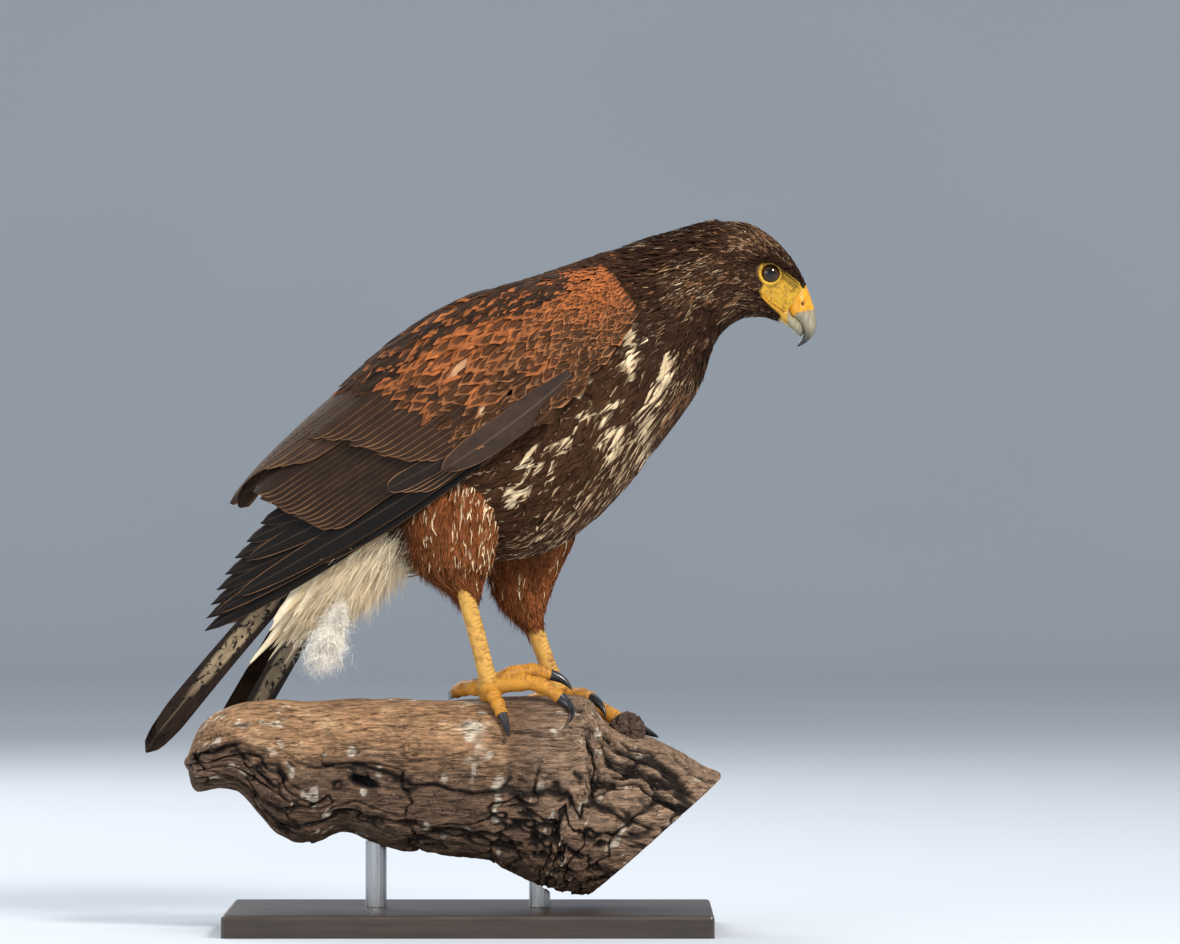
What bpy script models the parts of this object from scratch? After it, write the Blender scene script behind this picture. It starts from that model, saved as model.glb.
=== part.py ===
"""A young harris hawk, life size, standing on a cut length of its branch on a plain stand.

Metres, +Z up. +X is the way the bird looks, and its right side is towards -Y. The origin is
the middle of the underside of the stand's base. Tables of sizes are in millimetres. In a body
table a row is one section: its upper point (x, z), its lower point (x, z) and its half width.
"""

import math
import random

import bmesh
import bpy
import numpy as np

MM = 0.001
GAP = 0.3  # between the faces of nodes that meet
CUT_GAP = 0.42  # how far a neighbour is swelled before it cuts its bed
VANE_THICK = 0.7
SEED = 21

BODY_YAW = math.radians(16.0)  # the breast is turned this far towards -Y
YAW_ORIGIN_X = 20.0  # where the body's middle plane crosses y = 0
NECK_TURN_START = 118.0
NECK_TURN_END = 168.0  # from here on the head looks along +X

# From the rear of the rump to the front of the face.
BODY_ROWS = (
    (-64.7, 297.0, -44.9, 257.4, 24.0),
    (-73.9, 328.7, -25.1, 238.0, 38.0),
    (-56.1, 374.0, 13.2, 242.9, 46.0),
    (-19.8, 408.0, 54.8, 252.1, 53.0),
    (19.8, 424.0, 93.7, 283.8, 55.0),
    (51.5, 433.5, 122.1, 320.1, 51.0),
    (79.2, 443.0, 143.9, 348.5, 45.0),
    (99.0, 449.0, 153.1, 366.3, 38.0),
    (122.1, 455.0, 157.7, 379.5, 32.0),
    (139.9, 460.0, 163.7, 392.0, 28.5),
    (155.1, 464.0, 173.6, 400.6, 27.0),
    (170.3, 466.3, 181.5, 403.6, 27.0),
    (184.2, 464.6, 188.1, 404.2, 25.0),
    (197.0, 457.2, 193.4, 403.9, 20.8),
    (208.2, 446.2, 197.3, 402.9, 16.6),
    (215.8, 435.2, 200.6, 401.9, 12.5),
    (221.4, 423.4, 203.3, 401.0, 8.8),
)
TORSO_END = 6.5
HEAD_START = 10.2
BODY_SIDES = 24

EYE_X, EYE_Z, EYE_OUT = 197.0, 432.0, 14.9
EYE_RADIUS = 8.2
LID_RADIUS, LID_THICK = 7.2, 1.1
NOSTRIL_X, NOSTRIL_Z, NOSTRIL_RADIUS = 218.4, 412.4, 1.5
GAPE_X, GAPE_Z = 192.7, 417.1
BILL_SPLIT = 0.70  # share of the face's front edge that the upper bill takes
UPPER_BILL_ROWS = (
    (224.4, 413.8, 211.0, 404.4, 7.9),
    (226.4, 407.6, 214.0, 402.2, 7.2),
    (227.7, 401.3, 216.8, 399.3, 6.2),
    (227.0, 395.3, 218.6, 396.0, 5.0),
    (224.7, 390.8, 219.2, 392.7, 3.6),
    (221.1, 387.2, 218.0, 389.6, 2.2),
    (215.6, 384.2, 215.0, 385.2, 0.6),
)
LOWER_BILL_ROWS = (
    (211.6, 405.4, 206.6, 399.3, 6.6),
    (214.8, 403.1, 210.2, 396.0, 5.8),
    (217.6, 400.2, 213.8, 393.2, 4.6),
    (219.2, 396.6, 216.0, 391.8, 3.2),
    (219.4, 393.3, 217.2, 391.2, 1.2),
)

# The folded wing is laid out on a sheet: a runs from the wrist to the tip, b up from that line.
WRIST_X, WRIST_Z = 100.0, 399.0
WING_SLOPE = math.radians(35.9)
FAR_WING_LIFT = math.radians(1.2)
FAR_WING_SHIFT = 6.0
SHEET_STATIONS = (-20.0, 30.0, 70.0, 120.0, 170.0, 230.0, 290.0, 350.0)
SHEET_LOW = (4.0, -10.0, -15.0, -17.0, -16.0, -9.0, -5.0, -2.0)
SHEET_HIGH = (34.0, 58.0, 76.0, 81.0, 77.0, 70.0, 56.0, 34.0)
SHEET_SIDE = (44.0, 57.0, 64.0, 66.5, 63.0, 54.5, 48.0, 43.0)
SHEET_CREST = (34.0, 28.0, 22.0, 18.0, 15.0, 14.0, 18.0, 25.0)

CORE_LEAST = 4.5  # the arm's least thickness
CREST_START = 0.96  # share of the height from which feathers fold over the back

TAIL_ROOT_X, TAIL_ROOT_Z = -61.0, 290.0
TAIL_SLOPE = math.radians(53.5)
TAIL_ROLL = math.radians(26.0)
TAIL_LENGTH = 236.0
TAIL_GROUP_ANGLE = math.radians(8.0)
TAIL_FEATHER_ANGLE = math.radians(1.3)
TAIL_FEATHER_HALF = 12.5

# Rear point, front point, half thickness and the distance out from the body's middle plane.
THIGH_ROWS = {
    "right": (
        (-32.0, 308.0, 22.0, 304.0, 15.0, 31.0),
        (-41.0, 277.0, 21.0, 276.0, 18.0, 33.0),
        (-38.0, 252.0, 16.0, 250.0, 16.0, 33.0),
        (-31.0, 236.0, 11.0, 236.0, 12.0, 31.0),
        (-15.0, 224.0, 8.0, 226.0, 8.5, 28.5),
        (-6.5, 216.0, 6.0, 218.5, 6.6, 27.0),
    ),
    "left": (
        (2.0, 288.0, 70.0, 280.0, 15.0, 31.0),
        (4.0, 262.0, 68.0, 258.0, 18.0, 33.0),
        (11.0, 238.0, 58.0, 236.0, 15.5, 33.0),
        (17.0, 219.0, 51.5, 219.0, 11.5, 32.0),
        (26.5, 207.0, 48.5, 208.0, 8.0, 31.0),
        (36.0, 199.0, 48.0, 201.5, 6.4, 30.0),
    ),
}
# World paths from inside the thigh's feathers to the ball of the foot.
TARSUS_RADII = (4.8, 5.6, 5.7, 5.6, 6.1, 7.0)
TARSUS_PATHS = {
    "right": ((-4.5, 228.0), (-1.2, 217.0), (4.3, 197.3), (9.4, 177.0), (11.6, 168.0), (12.6, 162.0)),
    "left": ((38.5, 212.0), (42.0, 201.0), (46.0, 188.5), (51.2, 174.0), (55.5, 163.0), (57.5, 156.0)),
}
TARSUS_Y = {"right": (-27.0, -22.0), "left": (27.0, 24.0)}
# The hind toe, then the inner, the middle and the outer one, each from the ball to its claw.
TOE_PATHS = {
    "right": (
        ((12.0, -20.0, 161.0), (4.0, -13.0, 160.5), (-4.0, -3.0, 159.5), (-9.0, 8.0, 157.0)),
        ((15.0, -20.0, 162.5), (28.0, -15.0, 169.0), (41.0, -11.0, 171.0), (52.0, -8.0, 169.0)),
        ((15.0, -22.0, 161.5), (33.0, -23.0, 164.0), (47.0, -24.0, 162.0), (59.0, -26.0, 154.6)),
        ((13.0, -24.0, 160.0), (16.0, -30.0, 155.0), (18.8, -34.5, 149.8), (21.5, -38.5, 143.5)),
    ),
    "left": (
        ((56.0, 24.0, 153.0), (48.0, 27.0, 152.0), (40.0, 31.5, 149.0), (33.0, 37.0, 143.0)),
        ((58.0, 22.0, 154.0), (66.0, 18.0, 154.0), (74.0, 12.0, 154.0), (80.0, 6.0, 152.4)),
        ((60.0, 24.0, 154.0), (77.0, 22.0, 150.5), (94.0, 17.0, 140.5), (108.0, 11.0, 134.5)),
        ((58.0, 27.0, 152.0), (64.0, 34.5, 146.5), (69.0, 40.5, 139.0), (73.0, 45.0, 130.5)),
    ),
}
TOE_RADII = ((6.6, 5.4, 5.0, 4.2), (6.6, 5.6, 5.2, 4.3), (6.8, 5.6, 5.0, 4.2), (6.4, 5.0, 4.7, 4.0))
BALL_RADIUS = 7.6
BALLS = {"right": (12.8, -20.5, 158.0), "left": (57.5, 23.5, 152.5)}
CLAW_TIPS = {
    "right": ((-14.5, 32.0, 149.0), (67.5, -12.0, 158.5), (64.5, -47.0, 138.0), (26.5, -51.0, 129.0)),
    "left": ((25.0, 53.0, 128.0), (89.5, -5.0, 140.0), (124.5, 2.0, 127.0), (79.0, 57.0, 113.0)),
}
CLAW_SHARE = 0.86  # the claw's root to the toe's end

# From the broken end to the saw cut: upper point, lower point and half depth.
PERCH_ROWS = (
    (-186.5, 115.0, -186.5, 106.0, 9.0),
    (-176.2, 137.3, -180.2, 93.7, 28.0),
    (-155.1, 149.0, -153.1, 91.1, 37.0),
    (-128.7, 153.0, -127.4, 62.7, 42.0),
    (-105.6, 151.5, -104.3, 57.4, 44.0),
    (-79.2, 153.0, -82.5, 64.7, 45.0),
    (-46.2, 153.4, -49.5, 54.1, 46.0),
    (-13.2, 152.6, -19.8, 50.8, 47.0),
    (19.8, 155.0, 5.3, 46.2, 50.0),
    (52.8, 156.0, 27.7, 37.0, 50.0),
    (77.5, 154.6, 42.9, 30.5, 50.0),
    (90.0, 138.5, 50.5, 27.0, 50.0),
    (108.9, 131.5, 57.1, 25.0, 50.0),
    (135.3, 118.8, 67.3, 23.8, 49.0),
    (166.3, 101.6, 77.9, 23.1, 47.0),
)
PERCH_SIDES = 28
PERCH_POWER = 2.4
KNOB_X, KNOB_Y, KNOB_Z, KNOB_RADIUS = 103.5, -10.0, 132.0, 12.5

BASE_LENGTH, BASE_WIDTH, BASE_THICK, BASE_BEVEL = 320.0, 190.0, 15.0, 2.5
ROD_RADIUS = 7.0
ROD_PLACES = {"stand_rod_rear": (-62.0, 0.0, 84.0), "stand_rod_front": (46.0, 0.0, 60.0)}

COLOURS = {
    "plumage": ((0.075, 0.042, 0.026), 0.85),
    "rufous": ((0.26, 0.09, 0.035), 0.85),
    "down": ((0.78, 0.71, 0.58), 0.9),
    "flight": ((0.035, 0.024, 0.018), 0.7),
    "skin": ((0.85, 0.5, 0.06), 0.5),
    "bill": ((0.28, 0.31, 0.34), 0.35),
    "claw": ((0.02, 0.02, 0.022), 0.3),
    "eye": ((0.03, 0.018, 0.012), 0.08),
    "wood": ((0.3, 0.21, 0.14), 0.9),
    "stand": ((0.05, 0.05, 0.052), 0.45),
}


def unit(vector):
    vector = np.asarray(vector, float)
    return vector / np.linalg.norm(vector)


def material(kind):
    """One Principled material of the named kind, shared by nodes of that kind."""
    found = bpy.data.materials.get(kind)
    if found:
        return found
    colour, roughness = COLOURS[kind]
    made = bpy.data.materials.new(kind)
    made.use_nodes = True
    shader = made.node_tree.nodes["Principled BSDF"]
    shader.inputs["Base Color"].default_value = (*colour, 1.0)
    shader.inputs["Roughness"].default_value = roughness
    shader.inputs["Metallic"].default_value = 0.0
    return made


def solid(name, points, faces, kind):
    """A closed mesh object from millimetre points, with its faces turned outwards."""
    mesh = bpy.data.meshes.new(name)
    mesh.from_pydata([tuple(p) for p in np.asarray(points, float) * MM], [], faces)
    shell = bmesh.new()
    shell.from_mesh(mesh)
    bmesh.ops.triangulate(shell, faces=[f for f in shell.faces if len(f.verts) > 3])
    bmesh.ops.recalc_face_normals(shell, faces=shell.faces)
    shell.to_mesh(mesh)
    shell.free()
    obj = bpy.data.objects.new(name, mesh)
    bpy.context.scene.collection.objects.link(obj)
    mesh.materials.append(material(kind))
    return obj


def loft(name, rings, kind):
    """A tube through rings of points, with a fan of faces at each end."""
    rings = np.asarray(rings, float)
    count, sides = rings.shape[:2]
    points = list(rings.reshape(-1, 3)) + [rings[0].mean(axis=0), rings[-1].mean(axis=0)]
    faces = []
    for i in range(count - 1):
        for k in range(sides):
            a = i * sides + k
            b = i * sides + (k + 1) % sides
            faces += [(a, b, b + sides), (a, b + sides, a + sides)]
    start, end = count * sides, count * sides + 1
    last = (count - 1) * sides
    for k in range(sides):
        after = (k + 1) % sides
        faces.append((start, after, k))
        faces.append((end, last + k, last + after))
    return solid(name, points, faces, kind)


def smooth_rows(rows, places):
    """Rows of a table read at fractional places, on a curve that passes through every row."""
    rows = np.asarray(rows, float)
    padded = np.vstack([2 * rows[0] - rows[1], rows, 2 * rows[-1] - rows[-2]])
    result = []
    for place in places:
        i = int(min(max(math.floor(place), 0), len(rows) - 2))
        t = place - i
        p0, p1, p2, p3 = padded[i : i + 4]
        result.append(
            0.5
            * (
                2 * p1
                + (p2 - p0) * t
                + (2 * p0 - 5 * p1 + 4 * p2 - p3) * t**2
                + (3 * p1 - p0 - 3 * p2 + p3) * t**3
            )
        )
    return np.array(result)


def replace_mesh(obj):
    """Puts the mesh with its modifiers applied in place of the object's own mesh."""
    graph = bpy.context.evaluated_depsgraph_get()
    made = bpy.data.meshes.new_from_object(obj.evaluated_get(graph))
    obj.modifiers.clear()
    obj.data = made


def boolean(obj, others, operation, solver="EXACT"):
    """Joins or cuts the object with closed meshes, which are then removed."""
    group = bpy.data.collections.new("pieces")
    for other in others:
        group.objects.link(other)
        other.hide_render = True
        other.display_type = "WIRE"
    modifier = obj.modifiers.new("boolean", "BOOLEAN")
    modifier.operand_type = "COLLECTION"
    modifier.collection = group
    modifier.operation = operation
    modifier.solver = solver
    replace_mesh(obj)
    for other in others:
        bpy.data.objects.remove(other)
    bpy.data.collections.remove(group)
    keep_largest(obj)


def keep_largest(obj):
    """Removes every surface of the mesh but the one with the largest area."""
    shell = bmesh.new()
    shell.from_mesh(obj.data)
    bmesh.ops.triangulate(shell, faces=[f for f in shell.faces if len(f.verts) > 3])
    left = set(shell.faces)
    islands = []
    while left:
        queue = [left.pop()]
        island = []
        while queue:
            face = queue.pop()
            island.append(face)
            near = {f for edge in face.edges for f in edge.link_faces} & left
            left -= near
            queue.extend(near)
        islands.append(island)
    islands.sort(key=lambda faces: -sum(face.calc_area() for face in faces))
    bmesh.ops.delete(shell, geom=[f for island in islands[1:] for f in island], context="FACES")
    bmesh.ops.delete(shell, geom=[v for v in shell.verts if not v.link_faces], context="VERTS")
    shell.to_mesh(obj.data)
    shell.free()


def swelled(obj, distance=CUT_GAP):
    """A copy whose points are pushed out, which cuts a bed that keeps the gap."""
    copy = bpy.data.objects.new(obj.name + "_bed", obj.data.copy())
    bpy.context.scene.collection.objects.link(copy)
    normals = [vertex.normal.copy() for vertex in copy.data.vertices]
    for vertex, normal in zip(copy.data.vertices, normals):
        vertex.co += normal * distance * MM
    return copy


def shade(obj, angle=40.0):
    obj.data.shade_smooth()
    obj.data.set_sharp_from_angle(angle=math.radians(angle))


def frames_along(path, first=None):
    """Unit directions along a path, and two side directions that turn as little as they can."""
    path = np.asarray(path, float)
    along = np.gradient(path, axis=0)
    along = np.array([unit(v) for v in along])
    if first is not None:
        along[0] = first
    side = np.cross(along[0], (0.0, 0.0, 1.0))
    if np.linalg.norm(side) < 0.1:
        side = np.cross(along[0], (0.0, 1.0, 0.0))
    sides = []
    for direction in along:
        side = unit(side - direction * np.dot(side, direction))
        sides.append(side)
    sides = np.array(sides)
    return along, sides, np.cross(along, sides)


def tube(name, path, radii, kind, sides=10, first=None):
    """A round piece along a path in millimetres. first is the way its first face looks."""
    path = np.asarray(path, float)
    _, right, up = frames_along(path, first)
    rings = []
    for centre, r, e, f in zip(path, radii, right, up):
        angles = np.arange(sides) * 2 * math.pi / sides
        rings.append([centre + r * (math.cos(t) * e + math.sin(t) * f) for t in angles])
    return loft(name, rings, kind)


def ball(name, centre, radius, kind, subdivisions=2):
    """A round solid about a point in millimetres."""
    mesh = bpy.data.meshes.new(name)
    shell = bmesh.new()
    bmesh.ops.create_icosphere(shell, subdivisions=subdivisions, radius=radius * MM)
    bmesh.ops.translate(shell, verts=shell.verts, vec=[value * MM for value in centre])
    shell.to_mesh(mesh)
    shell.free()
    mesh.materials.append(material(kind))
    obj = bpy.data.objects.new(name, mesh)
    bpy.context.scene.collection.objects.link(obj)
    return obj


def superellipse(t, power):
    """Point at angle t of a rounded box of half sides 1."""
    c, s = math.cos(t), math.sin(t)
    return (
        math.copysign(abs(c) ** (2 / power), c),
        math.copysign(abs(s) ** (2 / power), s),
    )


# The body's middle plane. It is flat as far as the neck, which turns the head.


def body_yaw(x):
    part = (x - NECK_TURN_START) / (NECK_TURN_END - NECK_TURN_START)
    return BODY_YAW * (1 - min(max(part, 0.0), 1.0))


def middle_y(x):
    """The middle plane's y at an x along the bird."""
    flat = min(x, NECK_TURN_START)
    y = -math.tan(BODY_YAW) * (flat - YAW_ORIGIN_X)
    turn = NECK_TURN_END - NECK_TURN_START
    part = min(max(x - NECK_TURN_START, 0.0), turn)
    return y - math.tan(BODY_YAW) * (part - part**2 / (2 * turn))


def beside(x, out, z):
    """The point seen at (x, z) from the bird's right side, out to its left by so much."""
    middle_x = x - out * math.sin(BODY_YAW)
    return np.array((x, middle_y(middle_x) + out * math.cos(BODY_YAW), z))


def section(row, sides, power=2.15):
    """A ring of the body from its upper point, lower point and half width."""
    top_x, top_z, low_x, low_z, half = row
    yaw = body_yaw((top_x + low_x) / 2)
    top = np.array((top_x, middle_y(top_x), top_z))
    low = np.array((low_x, middle_y(low_x), low_z))
    across = np.array((math.sin(yaw), math.cos(yaw), 0.0))
    centre, up = (top + low) / 2, (top - low) / 2
    ring = []
    for k in range(sides):
        c, s = superellipse(2 * math.pi * k / sides, power)
        ring.append(centre + up * c + across * half * s)
    return ring


def body_piece(name, start, end, step, kind, sides=BODY_SIDES):
    count = max(2, round((end - start) / step) + 1)
    rows = smooth_rows(BODY_ROWS, np.linspace(start, end, count))
    return loft(name, [section(row, sides) for row in rows], kind)


def make_torso():
    return body_piece("torso", 0.0, TORSO_END, 0.5, "plumage")


def make_neck():
    spacing = 21.0  # about how far apart two rows of the neck lie
    return body_piece(
        "neck", TORSO_END + 2 * GAP / spacing, HEAD_START - 2 * GAP / spacing, 0.62, "plumage"
    )


def make_eye(side, sign):
    centre = (EYE_X, middle_y(EYE_X) + sign * EYE_OUT, EYE_Z)
    return ball("eye_" + side, centre, EYE_RADIUS, "eye")


def lid_ring(sign):
    """The raised rim of skin round an eye."""
    centre = np.array((EYE_X, middle_y(EYE_X) + sign * (EYE_OUT + 5.6), EYE_Z))
    count = 14
    sides = 6
    rings = []
    for i in range(count):
        t = 2 * math.pi * i / count
        out = np.array((math.cos(t), 0.0, math.sin(t)))
        middle = centre + out * LID_RADIUS
        rings.append(
            [
                middle
                + out * LID_THICK * math.cos(u)
                + np.array((0, sign, 0)) * 2.2 * LID_THICK * math.sin(u)
                for u in np.arange(sides) * 2 * math.pi / sides
            ]
        )
    points = np.array(rings).reshape(-1, 3)
    faces = []
    for i in range(count):
        for k in range(sides):
            a, b = i * sides + k, i * sides + (k + 1) % sides
            c, d = (i + 1) % count * sides + (k + 1) % sides, (i + 1) % count * sides + k
            faces.append((a, b, c, d))
    return solid("lid", points, faces, "skin")


def make_head(eyes):
    head = body_piece("head", HEAD_START, len(BODY_ROWS) - 1.0, 0.5, "plumage")
    added = []
    cut = []
    for sign, eye in zip((-1, 1), eyes):
        added.append(lid_ring(sign))
        brow = [
            (188.0, 442.6, 20.6),
            (194.0, 442.6, 19.0),
            (201.0, 440.2, 16.6),
            (207.0, 436.0, 13.6),
            (211.5, 431.0, 11.0),
        ]
        path = [(x, middle_y(EYE_X) + sign * out, z) for x, z, out in brow]
        added.append(tube("brow", path, (0.8, 2.2, 2.7, 2.5, 1.0), "plumage", 7))
        groove = [
            (GAPE_X, GAPE_Z, 19.6),
            (198.0, 413.6, 17.2),
            (203.0, 410.2, 14.0),
            (209.5, 406.6, 10.0),
        ]
        path = [(x, middle_y(EYE_X) + sign * out, z) for x, z, out in groove]
        cut.append(tube("gape", path, (0.5, 1.0, 1.1, 1.1), "plumage", 6))
        cut.append(swelled(eye))
    boolean(head, added, "UNION")
    boolean(head, cut, "DIFFERENCE")
    return head


def bill_piece(name, first, rows, sides):
    """A half of the bill: its first ring is flat against the face."""
    top = np.array(BODY_ROWS[-1][0:2])
    low = np.array(BODY_ROWS[-1][2:4])
    edge = low - top
    ahead = np.array((-edge[1], edge[0])) / np.linalg.norm(edge)
    if ahead[0] < 0:
        ahead = -ahead
    start = top + edge * first[0] + ahead * GAP
    stop = top + edge * first[1] + ahead * GAP
    table = [(*start, *stop, first[2]), *rows]
    places = np.linspace(0.0, len(table) - 1.0, 2 * len(table) - 1)
    return loft(name, [section(row, sides, 2.0) for row in smooth_rows(table, places)], "bill")


def make_bill():
    upper = bill_piece("bill_upper", (0.0, BILL_SPLIT, 8.5), UPPER_BILL_ROWS, 14)
    pits = []
    for sign in (-1, 1):
        y = middle_y(NOSTRIL_X)
        path = [
            (NOSTRIL_X, y + sign * 4.5, NOSTRIL_Z),
            (NOSTRIL_X, y + sign * 10.0, NOSTRIL_Z),
        ]
        pits.append(tube("nostril", path, (NOSTRIL_RADIUS, NOSTRIL_RADIUS), "bill", 8))
    boolean(upper, pits, "DIFFERENCE")
    lower = bill_piece("bill_lower", (BILL_SPLIT - 0.02, 0.99, 7.6), LOWER_BILL_ROWS, 12)
    boolean(lower, [swelled(upper)], "DIFFERENCE")
    return upper, lower


# Feathers. A sheet is a function from (along, across, height) to a point in space.


def vane(sheet, root, tip, half, heights, bow=0.0, point=0.75, root_share=0.45, stations=6):
    """One flat feather on a sheet, a closed slab split alike on both faces.

    heights are those of its lower and upper edges; point is where it starts to round off.
    """
    root, tip = np.array(root, float), np.array(tip, float)
    along = unit(tip - root)
    across = np.array((-along[1], along[0]))
    places = [0.0, *np.linspace(0.28, point, stations - 4), 0.5 + point / 2, 0.35 + 0.65 * 0.94, 1.0]
    places = sorted(places)
    points = []
    for place in places:
        centre = root + (tip - root) * place + across * bow * 4 * place * (1 - place)
        if place <= point:
            width = root_share + (1 - root_share) * math.sin(min(place / 0.45, 1.0) * math.pi / 2)
        else:
            width = max(math.sqrt(1 - ((place - point) / (1 - point)) ** 2), 0.16)
        low = centre - across * half * width
        high = centre + across * half * width
        for side, level in ((low, heights[0]), (high, heights[1])):
            points.append(sheet(side[0], side[1], level + VANE_THICK / 2))
            points.append(sheet(side[0], side[1], level - VANE_THICK / 2))
    faces = [(0, 1, 3), (0, 3, 2)]
    for i in range(len(places) - 1):
        a, b, c, d = (4 * i + k for k in range(4))
        e, f, g, h = (4 * i + 4 + k for k in range(4))
        faces += [(a, g, e), (a, c, g), (b, f, h), (b, h, d)]
        faces += [(a, e, f), (a, f, b), (c, d, h), (c, h, g)]
    last = 4 * (len(places) - 1)
    faces += [(last, last + 2, last + 3), (last, last + 3, last + 1)]
    return solid("vane", points, faces, "flight")


def sheet_value(table, a):
    places = np.interp(a, SHEET_STATIONS, range(len(SHEET_STATIONS)))
    return smooth_rows([(value,) for value in table], [float(places)])[0][0]


def wing_sheet(sign):
    """The outer face of a folded wing. sign is -1 for the right wing and 1 for the left."""
    slope = WING_SLOPE - (FAR_WING_LIFT if sign > 0 else 0.0)
    shift = FAR_WING_SHIFT if sign > 0 else 0.0

    def surface(a, b):
        low, high = sheet_value(SHEET_LOW, a), sheet_value(SHEET_HIGH, a)
        side, crest = sheet_value(SHEET_SIDE, a), sheet_value(SHEET_CREST, a)
        # An ellipse's quarter, from the lower edge up to the crest and on over the back.
        turn = math.asin(min(max((b - low) / (high - low), 0.0), CREST_START))
        turn += max(b - low - CREST_START * (high - low), 0.0) / (side - crest)
        out = crest + (side - crest) * math.cos(turn)
        if b > low:
            b = low + (high - low) * math.sin(turn)
        # The right wing's places are those seen from its side; the left wing mirrors them.
        x = WRIST_X - (a + shift) * math.cos(slope) - b * math.sin(slope)
        z = WRIST_Z - (a + shift) * math.sin(slope) + b * math.cos(slope)
        if sign > 0:
            x += 2 * out * math.sin(BODY_YAW)
        return beside(x, sign * out, z)

    def sheet(a, b, height):
        step = 2.0
        here = surface(a, b)
        da = surface(a + step, b) - surface(a - step, b)
        db = surface(a, b + step) - surface(a, b - step)
        return here + unit(np.cross(da, db)) * sign * height

    return sheet


def wing_core(name, sheet):
    """The arm under the small coverts, from the wrist back to the roots of the flight feathers."""
    # Lower (a, b), upper (a, b), outer height and inner height.
    rows = (
        (-3.0, 8.0, 0.0, 30.0, -5.0, -8.0),
        (2.0, -2.0, 8.0, 44.0, -1.0, -16.0),
        (16.0, -8.0, 24.0, 58.0, 0.0, -22.0),
        (50.0, -13.0, 58.0, 72.0, 0.0, -22.0),
        (90.0, -15.0, 105.0, 77.0, 0.0, -20.0),
        (120.0, -14.0, 145.0, 73.0, -1.0, -16.0),
        (136.0, -12.0, 166.0, 67.0, -2.6, -12.0),
        (146.0, -9.0, 178.0, 60.0, -4.6, -8.0),
    )
    across = 6
    rings = []
    for la, lb, ua, ub, outer, inner in smooth_rows(rows, np.linspace(0, 7, 10)):
        shares = np.linspace(0.0, 1.0, across)
        ring = []
        for share in shares:
            round_off = 1.5 * (2 * share - 1) ** 4
            ring.append(sheet(la + (ua - la) * share, lb + (ub - lb) * share, outer - round_off))
        for share in shares[::-1]:
            # Thinner towards the back, where the sheet bends most.
            level = min(inner * (1 - 0.6 * share**2), outer - CORE_LEAST)
            ring.append(sheet(la + (ua - la) * share, lb + (ub - lb) * share, level))
        rings.append(ring)
    return loft(name, rings, "rufous")


def wing_vanes(sheet, rng):
    """Primaries lowest, then secondaries and tertials, then the greater coverts on top."""
    made = []
    # The tips of the primaries, from the longest at the lower edge to the innermost.
    primary_tips = ((346, 2), (341, 8), (333, 14), (318, 21), (302, 28), (286, 33), (272, 37))
    for i, tip in enumerate(primary_tips):
        share = i / (len(primary_tips) - 1)
        root = (112 + 10 * share, -9 + 13 * share)
        level = -12.6 + 1.15 * i
        half = 8.5 + 2.5 * share
        made.append(vane(sheet, root, tip, half, (level, level), -2.5, 0.7 + 0.1 * share))
    count = 8
    for i in range(count):
        share = i / (count - 1)
        jitter = rng.uniform(-1.5, 1.5)
        root = (122 + 38 * share, 6 + 46 * share)
        tip = (236 + 26 * share**0.6 + jitter, 10 + 49 * share)
        made.append(vane(sheet, root, tip, 10.5, (-3.3, -5.9), 1.5, 0.86))
    count = 9
    for i in range(count):
        share = i / (count - 1)
        jitter = rng.uniform(-1.0, 1.0)
        root = (98 + 42 * share, 0 + 62 * share)
        tip = (158 + 48 * share + jitter, 5 + 57 * share)
        made.append(vane(sheet, root, tip, 8.2, (0.3, -2.4), 0.8, 0.8, stations=5))
    # The alula and the primary coverts, which lie along the lower edge of the closed wing.
    made.append(vane(sheet, (34, -6), (150, -9), 9.0, (1.3, 0.2), -2.0, 0.7))
    for i in range(3):
        made.append(vane(sheet, (96 + 8 * i, -5), (178 + 14 * i, -9 + i), 7.5, (-6.4 + i, -6.4 + i), -1, 0.7))
    return made


def make_wing(side, sign, torso, rng):
    sheet = wing_sheet(sign)
    wing = wing_core("wing_" + side, sheet)
    boolean(wing, wing_vanes(sheet, rng), "UNION", "MANIFOLD")
    boolean(wing, [swelled(torso)], "DIFFERENCE", "MANIFOLD")
    return wing


def tail_frame():
    """Root point, direction back, direction to the left and direction up from the tail's face."""
    root = np.array((TAIL_ROOT_X, middle_y(TAIL_ROOT_X), TAIL_ROOT_Z))
    level = np.array((-1.0, math.tan(BODY_YAW), 0.0))
    back = unit(level * math.cos(TAIL_SLOPE) - np.array((0, 0, 1)) * math.sin(TAIL_SLOPE))
    left = np.array((math.sin(BODY_YAW), math.cos(BODY_YAW), 0.0))
    up = unit(np.cross(left, back))
    if up[2] < 0:
        up = -up
    rolled = left * math.cos(TAIL_ROLL) - up * math.sin(TAIL_ROLL)
    return root, back, rolled, unit(up * math.cos(TAIL_ROLL) + left * math.sin(TAIL_ROLL))


def tail_sheet():
    root, back, left, up = tail_frame()

    def sheet(along, across, height):
        droop = -4.0 * math.sin(math.pi * max(along, 0.0) / TAIL_LENGTH)
        return root + back * along + left * across + up * (height - droop)

    return sheet


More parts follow.
